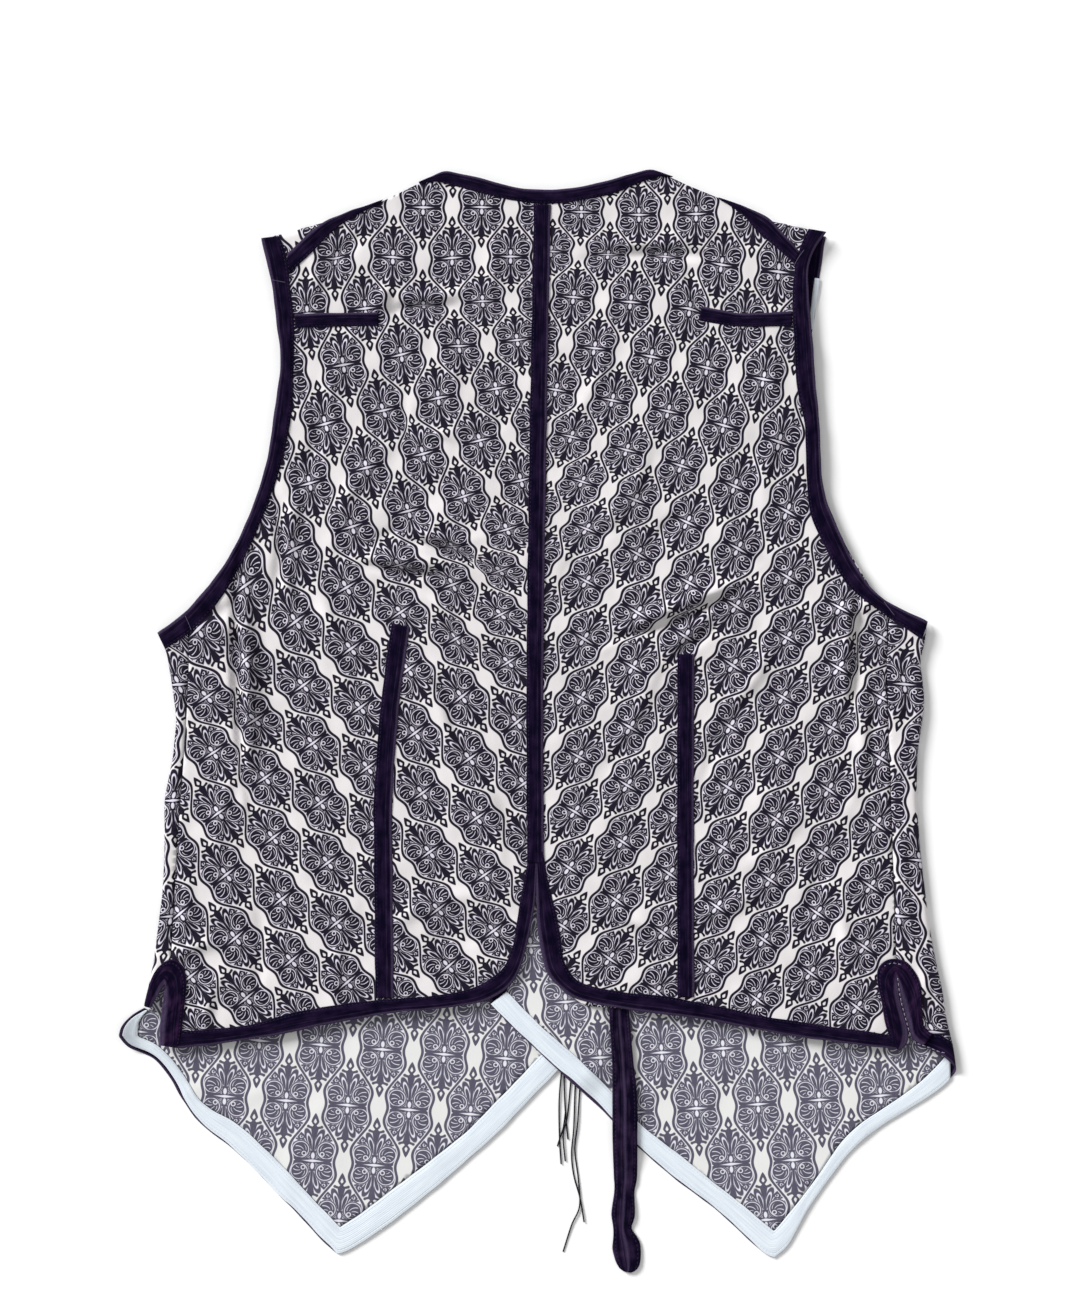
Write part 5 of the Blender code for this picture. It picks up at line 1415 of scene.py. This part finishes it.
@dataclass(frozen=True)
class PrintPlace:
    """Where the print lies on a straight-cut panel: a medallion's middle, the repeat and a turn."""

    middle: Pair
    column: float
    repeat: float
    turn: float = 0.0

    def at(self, x: np.ndarray, y: np.ndarray) -> np.ndarray:
        """Return the print's own coordinates, in columns across and repeats along."""
        across, along = turned(x, y, self.middle, self.turn)
        return np.column_stack([across / self.column, along / self.repeat])


@dataclass(frozen=True)
class LeaningPrint(PrintPlace):
    """The print on a back panel, whose upright axis leans away from the centre seam lower down."""

    mid_panel: float = 115.0
    lean: Path = LEAN_LEFT

    def at(self, x: np.ndarray, y: np.ndarray) -> np.ndarray:
        """Return the print's own coordinates, in columns across and repeats along."""
        shift_x, shift_y = UPPER.taken_up(x, y)
        out = np.abs(x + shift_x)
        up = y + shift_y
        lean = np.radians(read_table(self.lean, LEVELS))
        drift = np.cumsum(np.sin(lean)) - np.sin(lean).sum()
        climb = np.cumsum(np.cos(lean)) - np.cos(lean).sum() + LEVELS[-1]
        angle = np.interp(up, LEVELS, lean)
        beside = self.mid_panel - out
        middle = self.mid_panel - abs(self.middle[0])
        across = (np.cos(angle) * beside + np.interp(up, LEVELS, drift) - middle) / self.column
        along = (-np.sin(angle) * beside + np.interp(up, LEVELS, climb) - self.middle[1]) / self.repeat
        return np.column_stack([across, along])


def tube_faces(rings: int, ring: int) -> list[tuple[int, ...]]:
    """List the faces of a closed tube.

    Args:
        rings: how many rings of points it has.
        ring: how many points each ring has.

    Returns:
        The faces between the rings, then a cap at each end.
    """
    faces = []
    for start in range(0, (rings - 1) * ring, ring):
        for corner in range(ring):
            after = (corner + 1) % ring
            faces.append((start + corner, start + after, start + ring + after, start + ring + corner))
    faces.append(tuple(range(ring))[::-1])
    faces.append(tuple((rings - 1) * ring + corner for corner in range(ring)))
    return faces


@dataclass(frozen=True)
class Ribbon:
    """A strip between two edges, with a soft pillow section."""

    name: str
    node: str
    outer: np.ndarray
    inner: np.ndarray
    base: float
    thickness: float
    rim: Rim = Rim.LAID
    pitch: float = 1.1
    ripple: float = 0.16
    wave: float = 9.0
    wrap_depth: float = 1.1
    wobble: float = 0.09
    top_places: tuple[float, ...] = (0.0, 0.012, 0.05, 0.12, 0.25, 0.42, 0.58, 0.75, 0.88, 0.95, 0.988, 1.0)
    under_places: tuple[float, ...] = (0.97, 0.7, 0.5, 0.3, 0.03)
    edge_share: float = 0.35
    flatness: int = 7

    def section(self) -> np.ndarray:
        """Return the ribbon's section: place across from the outer edge, height."""
        across = np.array(self.top_places)
        bulge = 1.0 - np.abs(2.0 * across - 1.0) ** self.flatness
        top = np.column_stack([across, self.thickness * (self.edge_share + (1.0 - self.edge_share) * bulge)])
        under = np.column_stack([self.under_places, np.zeros(len(self.under_places))])
        if self.rim is Rim.WRAPPED:
            down = np.array([[0.03, -self.wrap_depth], [-0.015, -self.wrap_depth * 0.8]])
            return np.vstack([down, top, under[:-1]])
        return np.vstack([top, under])

    def draft(self, surface: UpperSide | FrontSide) -> MeshDraft:
        """Build the ribbon on a surface."""
        longest = max(lengths_along(self.outer)[-1], lengths_along(self.inner)[-1])
        count = max(int(longest / self.pitch), 4)
        outer = spaced(self.outer, count)
        inner = spaced(self.inner, count)
        section = self.section()
        ring = len(section)
        across = np.tile(section[:, 0], count + 1)
        lift = np.tile(section[:, 1], count + 1)
        row = np.repeat(np.arange(count + 1), ring)
        along = row * longest / count
        seed = sum(map(ord, self.name)) % 17
        width = np.maximum(np.hypot(*(inner - outer).T), 0.5)[row]
        wobble = np.sin(along / 3.1 + seed) + 1.6 * np.sin(along / 7.7 + 3 * seed)
        share = across + self.wobble * wobble * (2 * across - 1) / width
        places = outer[row] + (inner[row] - outer[row]) * share[:, None]
        wander = np.sin(along / self.wave + seed) + 0.6 * np.sin(along / (0.43 * self.wave) + 2.1 * seed)
        crease = np.sin(across * 6.0 + wander + seed) * np.sin(along / (1.9 * self.wave) + 0.7 * seed)
        height = self.base + lift + self.ripple * crease * (lift > 0.2 * self.thickness)
        points = surface.lay(places[:, 0], places[:, 1], height)
        flat = np.column_stack([across, along])
        return turned_outward(MeshDraft(points, tube_faces(count + 1, ring), {"ribbon": flat}))


def turned_outward(draft: MeshDraft) -> MeshDraft:
    """Turn a closed mesh's faces over where they point inward."""
    quads = np.asarray([face for face in draft.faces if len(face) == 4])
    points = draft.points - draft.points.mean(axis=0)
    first, second, third, fourth = (points[quads[:, k]] for k in range(4))
    total = (first * np.cross(second, third)).sum() + (first * np.cross(third, fourth)).sum()
    if total < 0.0:
        draft.faces = [tuple(reversed(face)) for face in draft.faces]
    return draft


def even_edges(line: np.ndarray, width: float) -> tuple[np.ndarray, np.ndarray]:
    """Return the two edges of a ribbon of one width along a middle line."""
    return offset(line, width / 2), offset(line, -width / 2)


@dataclass(frozen=True)
class Palette:
    """The finished materials."""

    outside: bpy.types.Material
    inside: bpy.types.Material
    velvet: bpy.types.Material
    vent: bpy.types.Material
    strap: bpy.types.Material
    tape: bpy.types.Material
    thread: bpy.types.Material
    stitch: bpy.types.Material
    join: bpy.types.Material


@dataclass
class Back:
    """The back: two printed panels and the ribbons on them."""

    repeat: float = 67.8
    ribbon_base: float = 1.34
    over_base: float = 1.6
    vent_thickness: float = 1.3
    vent_pitch: float = 0.9
    vent_ripple: float = 0.4
    vent_wave: float = 3.2
    closed: float = 0.3

    def outline(self, side: Side) -> np.ndarray:
        """Return the outline of one panel."""
        if side is Side.LEFT:
            paths = (NECK_EDGE_LEFT[::-1], CENTRE_BACK, HEM_BOTTOM_LEFT[::-1][1:], HEM_END_LEFT[::-1],
                     BACK_VENT_LEFT[::-1], SIDE_SEAM_LEFT[::-1], BACK_ARMHOLE_LEFT[::-1],
                     SHOULDER_SEAM_LEFT[::-1], BACK_SHOULDER_LEFT[::-1])
        else:
            paths = (NECK_EDGE_RIGHT[::-1], CENTRE_BACK, HEM_BOTTOM_RIGHT[::-1][1:], HEM_END_RIGHT[::-1],
                     BACK_VENT_RIGHT[::-1], SIDE_SEAM_RIGHT[::-1], BACK_ARMHOLE_RIGHT[::-1],
                     SHOULDER_SEAM_RIGHT[::-1], BACK_SHOULDER_RIGHT[::-1])
        outline = chain(*paths)
        return outline[:-1] if math.dist(outline[0], outline[-1]) < self.closed else outline

    def build(self, palette: Palette) -> dict[str, bpy.types.Object]:
        """Build the panels and their ribbons.

        Args:
            palette: the materials.

        Returns:
            The pieces by the name of the solid that each stands for.
        """
        pieces = {}
        prints = {
            Side.LEFT: LeaningPrint((-71.6, 335.3), 19.0, self.repeat, lean=LEAN_LEFT),
            Side.RIGHT: LeaningPrint((58.0, 331.3), 18.6, self.repeat, lean=LEAN_RIGHT),
        }
        for side, node in ((Side.LEFT, "back_left"), (Side.RIGHT, "back_right")):
            panel = Panel(f"cloth_{node}", self.outline(side))
            draft = panel.draft(UPPER, prints[side])
            draft.slots = [1 - number for number in draft.slots]
            pieces[node] = draft.finish(
                panel.name, [palette.outside, palette.inside], [node], "printed_cotton")
        for ribbon in self.ribbons():
            velvet = palette.vent if ribbon.node.startswith("vent_") else palette.velvet
            pieces[ribbon.node] = ribbon.draft(UPPER).finish(
                ribbon.name, [velvet], [ribbon.node], "velvet_ribbon")
        return pieces

    def ribbons(self) -> list[Ribbon]:
        """List the ribbons of the upper side."""
        found = []
        for name, width, line in EVEN_RIBBONS:
            base = self.over_base if name == "centre_back_ribbon" else self.ribbon_base
            found.append(Ribbon(f"velvet_{name}", name, *even_edges(smooth(line), width), base, RIBBON))
        flat = (self.ribbon_base, RIBBON)
        wrapped = (*flat, Rim.WRAPPED)
        vent = (self.over_base, self.vent_thickness, Rim.LAID,
                self.vent_pitch, self.vent_ripple, self.vent_wave)
        plans = (
            ("neck_ribbon", NECK_RIBBON, wrapped),
            ("hem_ribbon_left", HEM_RIBBON_LEFT, wrapped),
            ("hem_ribbon_right", HEM_RIBBON_RIGHT, wrapped),
            ("armhole_ribbon_left", ARMHOLE_RIBBON_LEFT, wrapped),
            ("armhole_ribbon_right", ARMHOLE_RIBBON_RIGHT, wrapped),
            ("vent_ribbon_left", VENT_RIBBON_LEFT, vent),
            ("vent_ribbon_right", VENT_RIBBON_RIGHT, vent),
            ("shoulder_ribbon_left", SHOULDER_RIBBON_LEFT, flat),
            ("shoulder_ribbon_right", SHOULDER_RIBBON_RIGHT, flat),
        )
        for name, (outer, inner), make in plans:
            found.append(Ribbon(f"velvet_{name}", name, smooth(outer), smooth(inner), *make))
        return found


@dataclass
class Fronts:
    """The two fronts, each folded over at the side and shoulder, with their trims."""

    column: float = 20.0
    repeat: float = 75.4
    cloth_high: float = 0.9
    cloth_pitch: float = 2.9
    row_pitch: float = 2.6
    row_margin: float = 1.5
    row_count: int = 12
    hem_gap: float = 0.1
    border_pitch: float = 1.6
    tape_base: float = 1.22
    tape_thickness: float = 0.7
    tape_pitch: float = 2.0
    tape_ripple: float = 0.07
    tape_wave: float = 12.0

    def fold_rows(self, surface: FrontSide, low: float, high: float) -> np.ndarray:
        """Return close rows of points where a front turns over at the side."""
        ys = np.arange(low, high, self.row_pitch)
        pasts = np.linspace(-self.row_margin, HALF_TURN + self.row_margin, self.row_count)
        return np.vstack([np.column_stack([surface.side.value * (surface.line(ys) + past), ys])
                          for past in pasts])

    def left_outline(self) -> np.ndarray:
        """Return the left front's cut before it is folded."""
        surface = FRONTS[Side.LEFT]
        hem = chain(*HEM_INNER_LEFT)
        opening = chain(FRONT_NECK_LEFT, FRONT_CENTRE_LEFT)
        centre = above(offset(opening, -RIBBON_WIDTH), hem[-1, 1] + self.hem_gap)
        arm = offset(smooth(FRONT_ARMHOLE_LEFT), RIBBON_WIDTH)
        strip = surface.unfold_side(chain(*STRIP_LEFT))
        line = surface.line(np.array([-180.0, NOTCH_LEFT]))
        notch = np.array([[-line[0] - HALF_TURN, -178.5], [-line[1] + 1.0, NOTCH_LEFT]])
        tip = surface.unfold_tip(TIP_LEFT)
        return np.vstack([centre[::-1], smooth(FRONT_SHOULDER_LEFT)[1:], tip, arm, strip, notch, hem])

    def right_outline(self) -> np.ndarray:
        """Return the right front's cut before it is folded."""
        surface = FRONTS[Side.RIGHT]
        inner = self.right_hem_inner()
        opening = chain(FRONT_NECK_RIGHT, FRONT_CENTRE_RIGHT)
        centre = above(offset(opening, RIBBON_WIDTH), inner[0, 1] + self.hem_gap)
        arm = offset(smooth(FRONT_ARMHOLE_RIGHT), -RIBBON_WIDTH)
        strip = surface.unfold_side(chain(*STRIP_RIGHT))
        tip = surface.unfold_tip(TIP_RIGHT)
        return np.vstack([centre[::-1], smooth(FRONT_SHOULDER_RIGHT)[1:], tip, arm, strip, inner[::-1]])

    def right_hem_inner(self) -> np.ndarray:
        """Return the inner edge of the right hem's border, on over the fold."""
        return np.vstack([chain(*HEM_INNER_RIGHT), self._turned(HEM_INNER_TURNED)])

    def right_hem_outer(self) -> np.ndarray:
        """Return the right hem's own edge, on over the fold."""
        return np.vstack([chain(*HEM_OUTER_RIGHT), self._turned(HEM_OUTER_TURNED)])

    def _turned(self, table: Path) -> np.ndarray:
        """Return an edge that goes on past the right side fold, before the fold is made."""
        past, y = np.asarray(table).T
        return np.column_stack([FRONTS[Side.RIGHT].line(y) + past, y])

    def build(self, palette: Palette) -> dict[str, bpy.types.Object]:
        """Build the fronts and their trims.

        Args:
            palette: the materials.

        Returns:
            The pieces by the name of the solid that each stands for.
        """
        pieces = {}
        plans = (
            (Side.LEFT, "front_left", self.left_outline(), (-106.6, -288.3), -4.2, (-172.0, 66.0)),
            (Side.RIGHT, "front_right", self.right_outline(), (125.5, -287.6), 4.0, (-214.0, 70.0)),
        )
        for side, node, outline, middle, turn, span in plans:
            surface = FRONTS[side]
            rows = self.fold_rows(surface, *span)
            panel = Panel(f"cloth_{node}", outline, 0.0, self.cloth_high, self.cloth_pitch, rows)
            draft = panel.draft(surface, PrintPlace(middle, self.column, self.repeat, turn))
            pieces[node] = draft.finish(
                panel.name, [palette.outside, palette.inside], [node], "printed_cotton")
        for side, ribbon in self.borders():
            pieces[ribbon.node] = ribbon.draft(FRONTS[side]).finish(
                ribbon.name, [palette.velvet], [ribbon.node], "velvet_ribbon")
        for side, ribbon in self.tapes():
            pieces[ribbon.node] = ribbon.draft(FRONTS[side]).finish(
                ribbon.name, [palette.tape], [ribbon.node], "pale_tape")
        return pieces

    def _inset(self, edge: np.ndarray, table: Path) -> np.ndarray:
        """Move a hem's edge inward by the width that a table gives for each share of its length."""
        along = lengths_along(edge)
        return offset(edge, read_table(table, along / along[-1])[:, None])

    def borders(self) -> list[tuple[Side, Ribbon]]:
        """List the velvet borders on the fronts' outer face."""
        found = []
        edges = (
            (Side.LEFT, "left", chain(*HEM_OUTER_LEFT), chain(*HEM_INNER_LEFT),
             chain(FRONT_NECK_LEFT, FRONT_CENTRE_LEFT), smooth(FRONT_ARMHOLE_LEFT), -1.0),
            (Side.RIGHT, "right", self.right_hem_outer(), self.right_hem_inner(),
             chain(FRONT_NECK_RIGHT, FRONT_CENTRE_RIGHT), smooth(FRONT_ARMHOLE_RIGHT), 1.0),
        )
        for side, word, outer, inner, opening, arm, sign in edges:
            corner = inner[-1] if side is Side.LEFT else inner[0]
            centre_inner = above(offset(opening, sign * RIBBON_WIDTH), corner[1] + self.hem_gap)
            plans = (("hem", outer, inner), ("centre", opening, centre_inner),
                     ("armhole", arm, offset(arm, -sign * RIBBON_WIDTH)))
            for part, first, second in plans:
                node = f"front_{part}_ribbon_{word}"
                found.append((side, Ribbon(f"velvet_{node}", node, first, second, 0.0, RIBBON,
                                           Rim.LAID, self.border_pitch, 0.0)))
        return found

    def tapes(self) -> list[tuple[Side, Ribbon]]:
        """List the pale tapes inside the fronts."""
        outer_left = self._inset(chain(*HEM_OUTER_LEFT), TAPE_INSET_LEFT)
        outer_right = self._inset(chain(*HEM_OUTER_RIGHT), TAPE_INSET_RIGHT)
        arm_outer, arm_inner = even_edges(smooth(ARMHOLE_TAPE), ARMHOLE_TAPE_WIDTH)
        plans = (
            (Side.LEFT, "front_hem_tape_left", outer_left, chain(*HEM_INNER_LEFT)),
            (Side.RIGHT, "front_hem_tape_right", outer_right, chain(*HEM_INNER_RIGHT)),
            (Side.RIGHT, "front_armhole_tape_right", arm_outer, arm_inner),
        )
        return [(side, Ribbon(f"tape_{node}", node, outer, inner, self.tape_base, self.tape_thickness,
                              Rim.LAID, self.tape_pitch, self.tape_ripple, self.tape_wave))
                for side, node, outer, inner in plans]


@dataclass
class TieStrap:
    """The strap of folded velvet that runs over the right front's hem to the table."""

    thickness: float = 2.3
    pitch: float = 1.1
    ring: int = 22
    steps: int = 12
    clear: float = 0.1
    edge_share: float = 0.55
    edge_height: float = 0.4
    seam_depth: float = 0.55
    seam_half: float = 0.13
    pinches: Pair = (-305.2, -329.9)
    pinch_depth: float = 0.7
    pinch_reach: float = 3.4

    def build(self, palette: Palette) -> bpy.types.Object:
        """Build the strap from its middle line and its half widths."""
        line = smooth(STRAP_LINE, self.steps)
        line = spaced(line, int(lengths_along(line)[-1] / self.pitch))
        left = offset(line, 1.0) - line[:, :2]
        count = len(line)
        turn = np.linspace(0.0, 2 * math.pi, self.ring, endpoint=False)
        across = np.tile(np.cos(turn), count)
        rise = np.tile(np.sin(turn), count)
        row = np.repeat(np.arange(count), self.ring)
        along = row * self.pitch
        half = line[row, 2]
        places = line[row, :2] + left[row] * (across * half)[:, None]
        wander = 0.7 * np.sin(along / 11.0) + 0.5 * np.sin(along / 4.7 + 1.0)
        ridges = 0.22 * np.sin(across * 7.0 + wander) + 0.12 * np.sin(across * 15.0 + along / 6.0)
        seam = self.seam_depth * np.exp(-(across / self.seam_half) ** 2)
        pinch = sum(np.exp(-((line[row, 1] - level) / self.pinch_reach) ** 2) for level in self.pinches)
        crown = self.edge_share + (1.0 - self.edge_share) * np.sqrt(np.abs(rise))
        top = self.thickness * crown + ridges - seam - self.pinch_depth * pinch
        under = 0.25 * np.abs(across) ** 4
        side = np.abs(rise) <= 0.02
        height = np.where(side, self.thickness * self.edge_height, np.where(rise > 0.0, top, under))
        base = FRONTS[Side.RIGHT].rise(*places.T) + read_table(STRAP_LIFT, places[:, 1]) + self.clear
        points = np.column_stack([places, base + height])
        flat = np.column_stack([across / 2 + 0.5, along])
        draft = turned_outward(MeshDraft(points, tube_faces(count, self.ring), {"ribbon": flat}))
        return draft.finish("velvet_tie_strap", [palette.strap], ["tie_strap"], "velvet_strap")


@dataclass
class Threads:
    """Loose threads, and the stitches that show on the velvet."""

    radius: float = 0.46
    ring: int = 8
    stitch_length: float = 2.0
    stitch_gap: float = 1.3
    stitch_radius: float = 0.22
    stitch_heights: Triple = (2.75, 3.05, 2.75)
    join_height: float = 2.3
    join_pitch: float = 1.0
    pitch: float = 1.5
    lowest: float = 0.55
    sway: float = 0.25
    sway_length: float = 9.0
    sway_start: float = 20.0

    def tube(self, line: np.ndarray, radius: float) -> MeshDraft:
        """Build a round thread along a line of points."""
        count = len(line)
        ahead = np.gradient(line, axis=0)
        ahead /= np.linalg.norm(ahead, axis=1)[:, None]
        aside = np.cross(ahead, (0.0, 0.0, 1.0))
        aside /= np.linalg.norm(aside, axis=1)[:, None]
        above_line = np.cross(aside, ahead)
        turn = np.linspace(0.0, 2 * math.pi, self.ring, endpoint=False)
        points = (line[:, None, :] + radius * (aside[:, None, :] * np.cos(turn)[None, :, None]
                                               + above_line[:, None, :] * np.sin(turn)[None, :, None]))
        along = np.concatenate([[0.0], np.cumsum(np.linalg.norm(np.diff(line, axis=0), axis=1))])
        flat = np.column_stack([np.tile(turn / (2 * math.pi), count), np.repeat(along, self.ring)])
        faces = tube_faces(count, self.ring)
        return turned_outward(MeshDraft(points.reshape(-1, 3), faces, {"ribbon": flat}))

    def join(self, drafts: list[MeshDraft]) -> MeshDraft:
        """Put several meshes in one."""
        faces = []
        start = 0
        for draft in drafts:
            faces += [tuple(start + corner for corner in face) for face in draft.faces]
            start += len(draft.points)
        return MeshDraft(np.vstack([draft.points for draft in drafts]), faces,
                         {"ribbon": np.vstack([draft.layers["ribbon"] for draft in drafts])})

    def build_loose(self, palette: Palette) -> bpy.types.Object:
        """Build the threads that hang from under the right front's hem."""
        drafts = []
        for number, path in enumerate(THREADS):
            line = smooth(path)
            line = spaced(line, int(lengths_along(line)[-1] / self.pitch))
            along = lengths_along(line)
            swaying = np.sin(along / self.sway_length + number) * soft_step(along / self.sway_start)
            height = self.lowest + self.sway * swaying
            drafts.append(self.tube(np.column_stack([line, height]), self.radius))
        return self.join(drafts).finish("threads_loose", [palette.thread], ["loose_threads"], "dark_thread")

    def build_stitches(self, palette: Palette) -> bpy.types.Object:
        """Build the pale stitches at the right vent and along the turned hem."""
        drafts = []
        step = self.stitch_length + self.stitch_gap
        for path in STITCHES:
            line = smooth(path)
            along = lengths_along(line)
            for number in range(int(along[-1] / step)):
                part = number * step + np.array([0.0, self.stitch_length / 2, self.stitch_length])
                x = np.interp(part, along, line[:, 0])
                y = np.interp(part, along, line[:, 1])
                points = UPPER.lay(x, y, np.array(self.stitch_heights))
                drafts.append(self.tube(points, self.stitch_radius))
        return self.join(drafts).finish("stitches_vent", [palette.stitch], [], "dark_thread")

    def build_joins(self, palette: Palette) -> bpy.types.Object:
        """Build the short lines of sewing across the armhole ribbons."""
        drafts = []
        for path in JOINS:
            line = smooth(path)
            line = spaced(line, int(lengths_along(line)[-1] / self.join_pitch))
            points = UPPER.lay(*line.T, np.full(len(line), self.join_height))
            drafts.append(self.tube(points, self.stitch_radius))
        return self.join(drafts).finish("stitches_armhole", [palette.join], [], "dark_thread")


@dataclass
class Studio:
    """A white table, soft light from the upper left and a camera straight above."""

    middle: Pair = (2.9, 47.5)
    distance: float = 2342.0
    lens: float = 100.0
    sensor: float = 36.0
    clip: Pair = (0.01, 20.0)
    key_strength: float = 3.9
    key_softness: float = 24.0
    key_from: Triple = (-1.35, 1.15, 0.98)
    fill: float = 0.55
    table_size: float = 6.0
    table_gap: float = 0.15
    table_white: float = 0.94
    table_rough: float = 0.9
    table_gloss: float = 0.1

    def build(self) -> None:
        """Set up the table, the light and the camera."""
        self._table()
        self._light()
        self._camera()
        bpy.context.scene.view_settings.view_transform = "Standard"

    def _table(self) -> None:
        """Lay a plain white table under the garment."""
        mesh = bpy.data.meshes.new("table_top")
        size, top = self.table_size, -self.table_gap * MM
        mesh.from_pydata([(-size, -size, top), (size, -size, top), (size, size, top), (-size, size, top)],
                         [], [(0, 1, 2, 3)])
        table = bpy.data.objects.new("table_top", mesh)
        bpy.context.scene.collection.objects.link(table)
        paint = bpy.data.materials.new("white_table")
        paint.use_nodes = True
        shader = paint.node_tree.nodes["Principled BSDF"]
        shader.inputs["Base Color"].default_value = (*[self.table_white] * 3, 1.0)
        shader.inputs["Roughness"].default_value = self.table_rough
        shader.inputs["Specular IOR Level"].default_value = self.table_gloss
        mesh.materials.append(paint)

    def _light(self) -> None:
        """Light the table softly, and a little more from the upper left."""
        world = bpy.data.worlds.new("studio")
        world.use_nodes = True
        sky = world.node_tree.nodes["Background"]
        sky.inputs["Color"].default_value = (1.0, 1.0, 1.0, 1.0)
        sky.inputs["Strength"].default_value = self.fill
        bpy.context.scene.world = world
        data = bpy.data.lights.new("key", "SUN")
        data.energy = self.key_strength
        data.angle = math.radians(self.key_softness)
        lamp = bpy.data.objects.new("key", data)
        lamp.location = self.key_from
        lamp.rotation_euler = (-lamp.location).to_track_quat("-Z", "Y").to_euler()
        bpy.context.scene.collection.objects.link(lamp)

    def _camera(self) -> None:
        """Put the camera straight above the garment."""
        data = bpy.data.cameras.new("camera")
        data.lens = self.lens
        data.sensor_width = self.sensor
        data.clip_start, data.clip_end = self.clip
        camera = bpy.data.objects.new("camera", data)
        camera.location = (self.middle[0] * MM, self.middle[1] * MM, self.distance * MM)
        bpy.context.scene.collection.objects.link(camera)
        bpy.context.scene.camera = camera


def declare_cloth(fronts: dict[str, bpy.types.Object],
                  extras: list[bpy.types.Object]) -> None:
    """List each front's trims, its cut size and area, and the pieces it lies on, without using these lists.

    Args:
        fronts: the fronts' pieces by solid.
        extras: the strap, threads and stitches.
    """
    cuts = (("left", (0.325, 0.700), 0.1359, []), ("right", (0.335, 0.700), 0.1367, extras))
    for word, flat, area, more in cuts:
        node = f"front_{word}"
        trims = [piece for name, piece in fronts.items() if name.endswith(f"_{word}") and name != node]
        ["table_top"] if word == "left" else ["table_top", "cloth_front_left"]
        trims + more


def main() -> None:
    """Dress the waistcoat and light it."""
    logging.basicConfig(level=logging.INFO, format="%(name)s: %(message)s")
    finishes = (OUTSIDE, INSIDE, VELVET, VENT_VELVET, STRAP_VELVET, TAPE_FINISH, THREAD_FINISH,
                STITCH_FINISH, JOIN_FINISH)
    palette = Palette(*(finish.make() for finish in finishes))
    Studio().build()
    back = Back().build(palette)
    fronts = Fronts().build(palette)
    strap = TieStrap().build(palette)
    threads = Threads()
    extras = [strap, threads.build_loose(palette), threads.build_stitches(palette)]
    back["joins_right"] = threads.build_joins(palette)
    declare_cloth(fronts, extras)


if __name__ == "__main__":
    main()
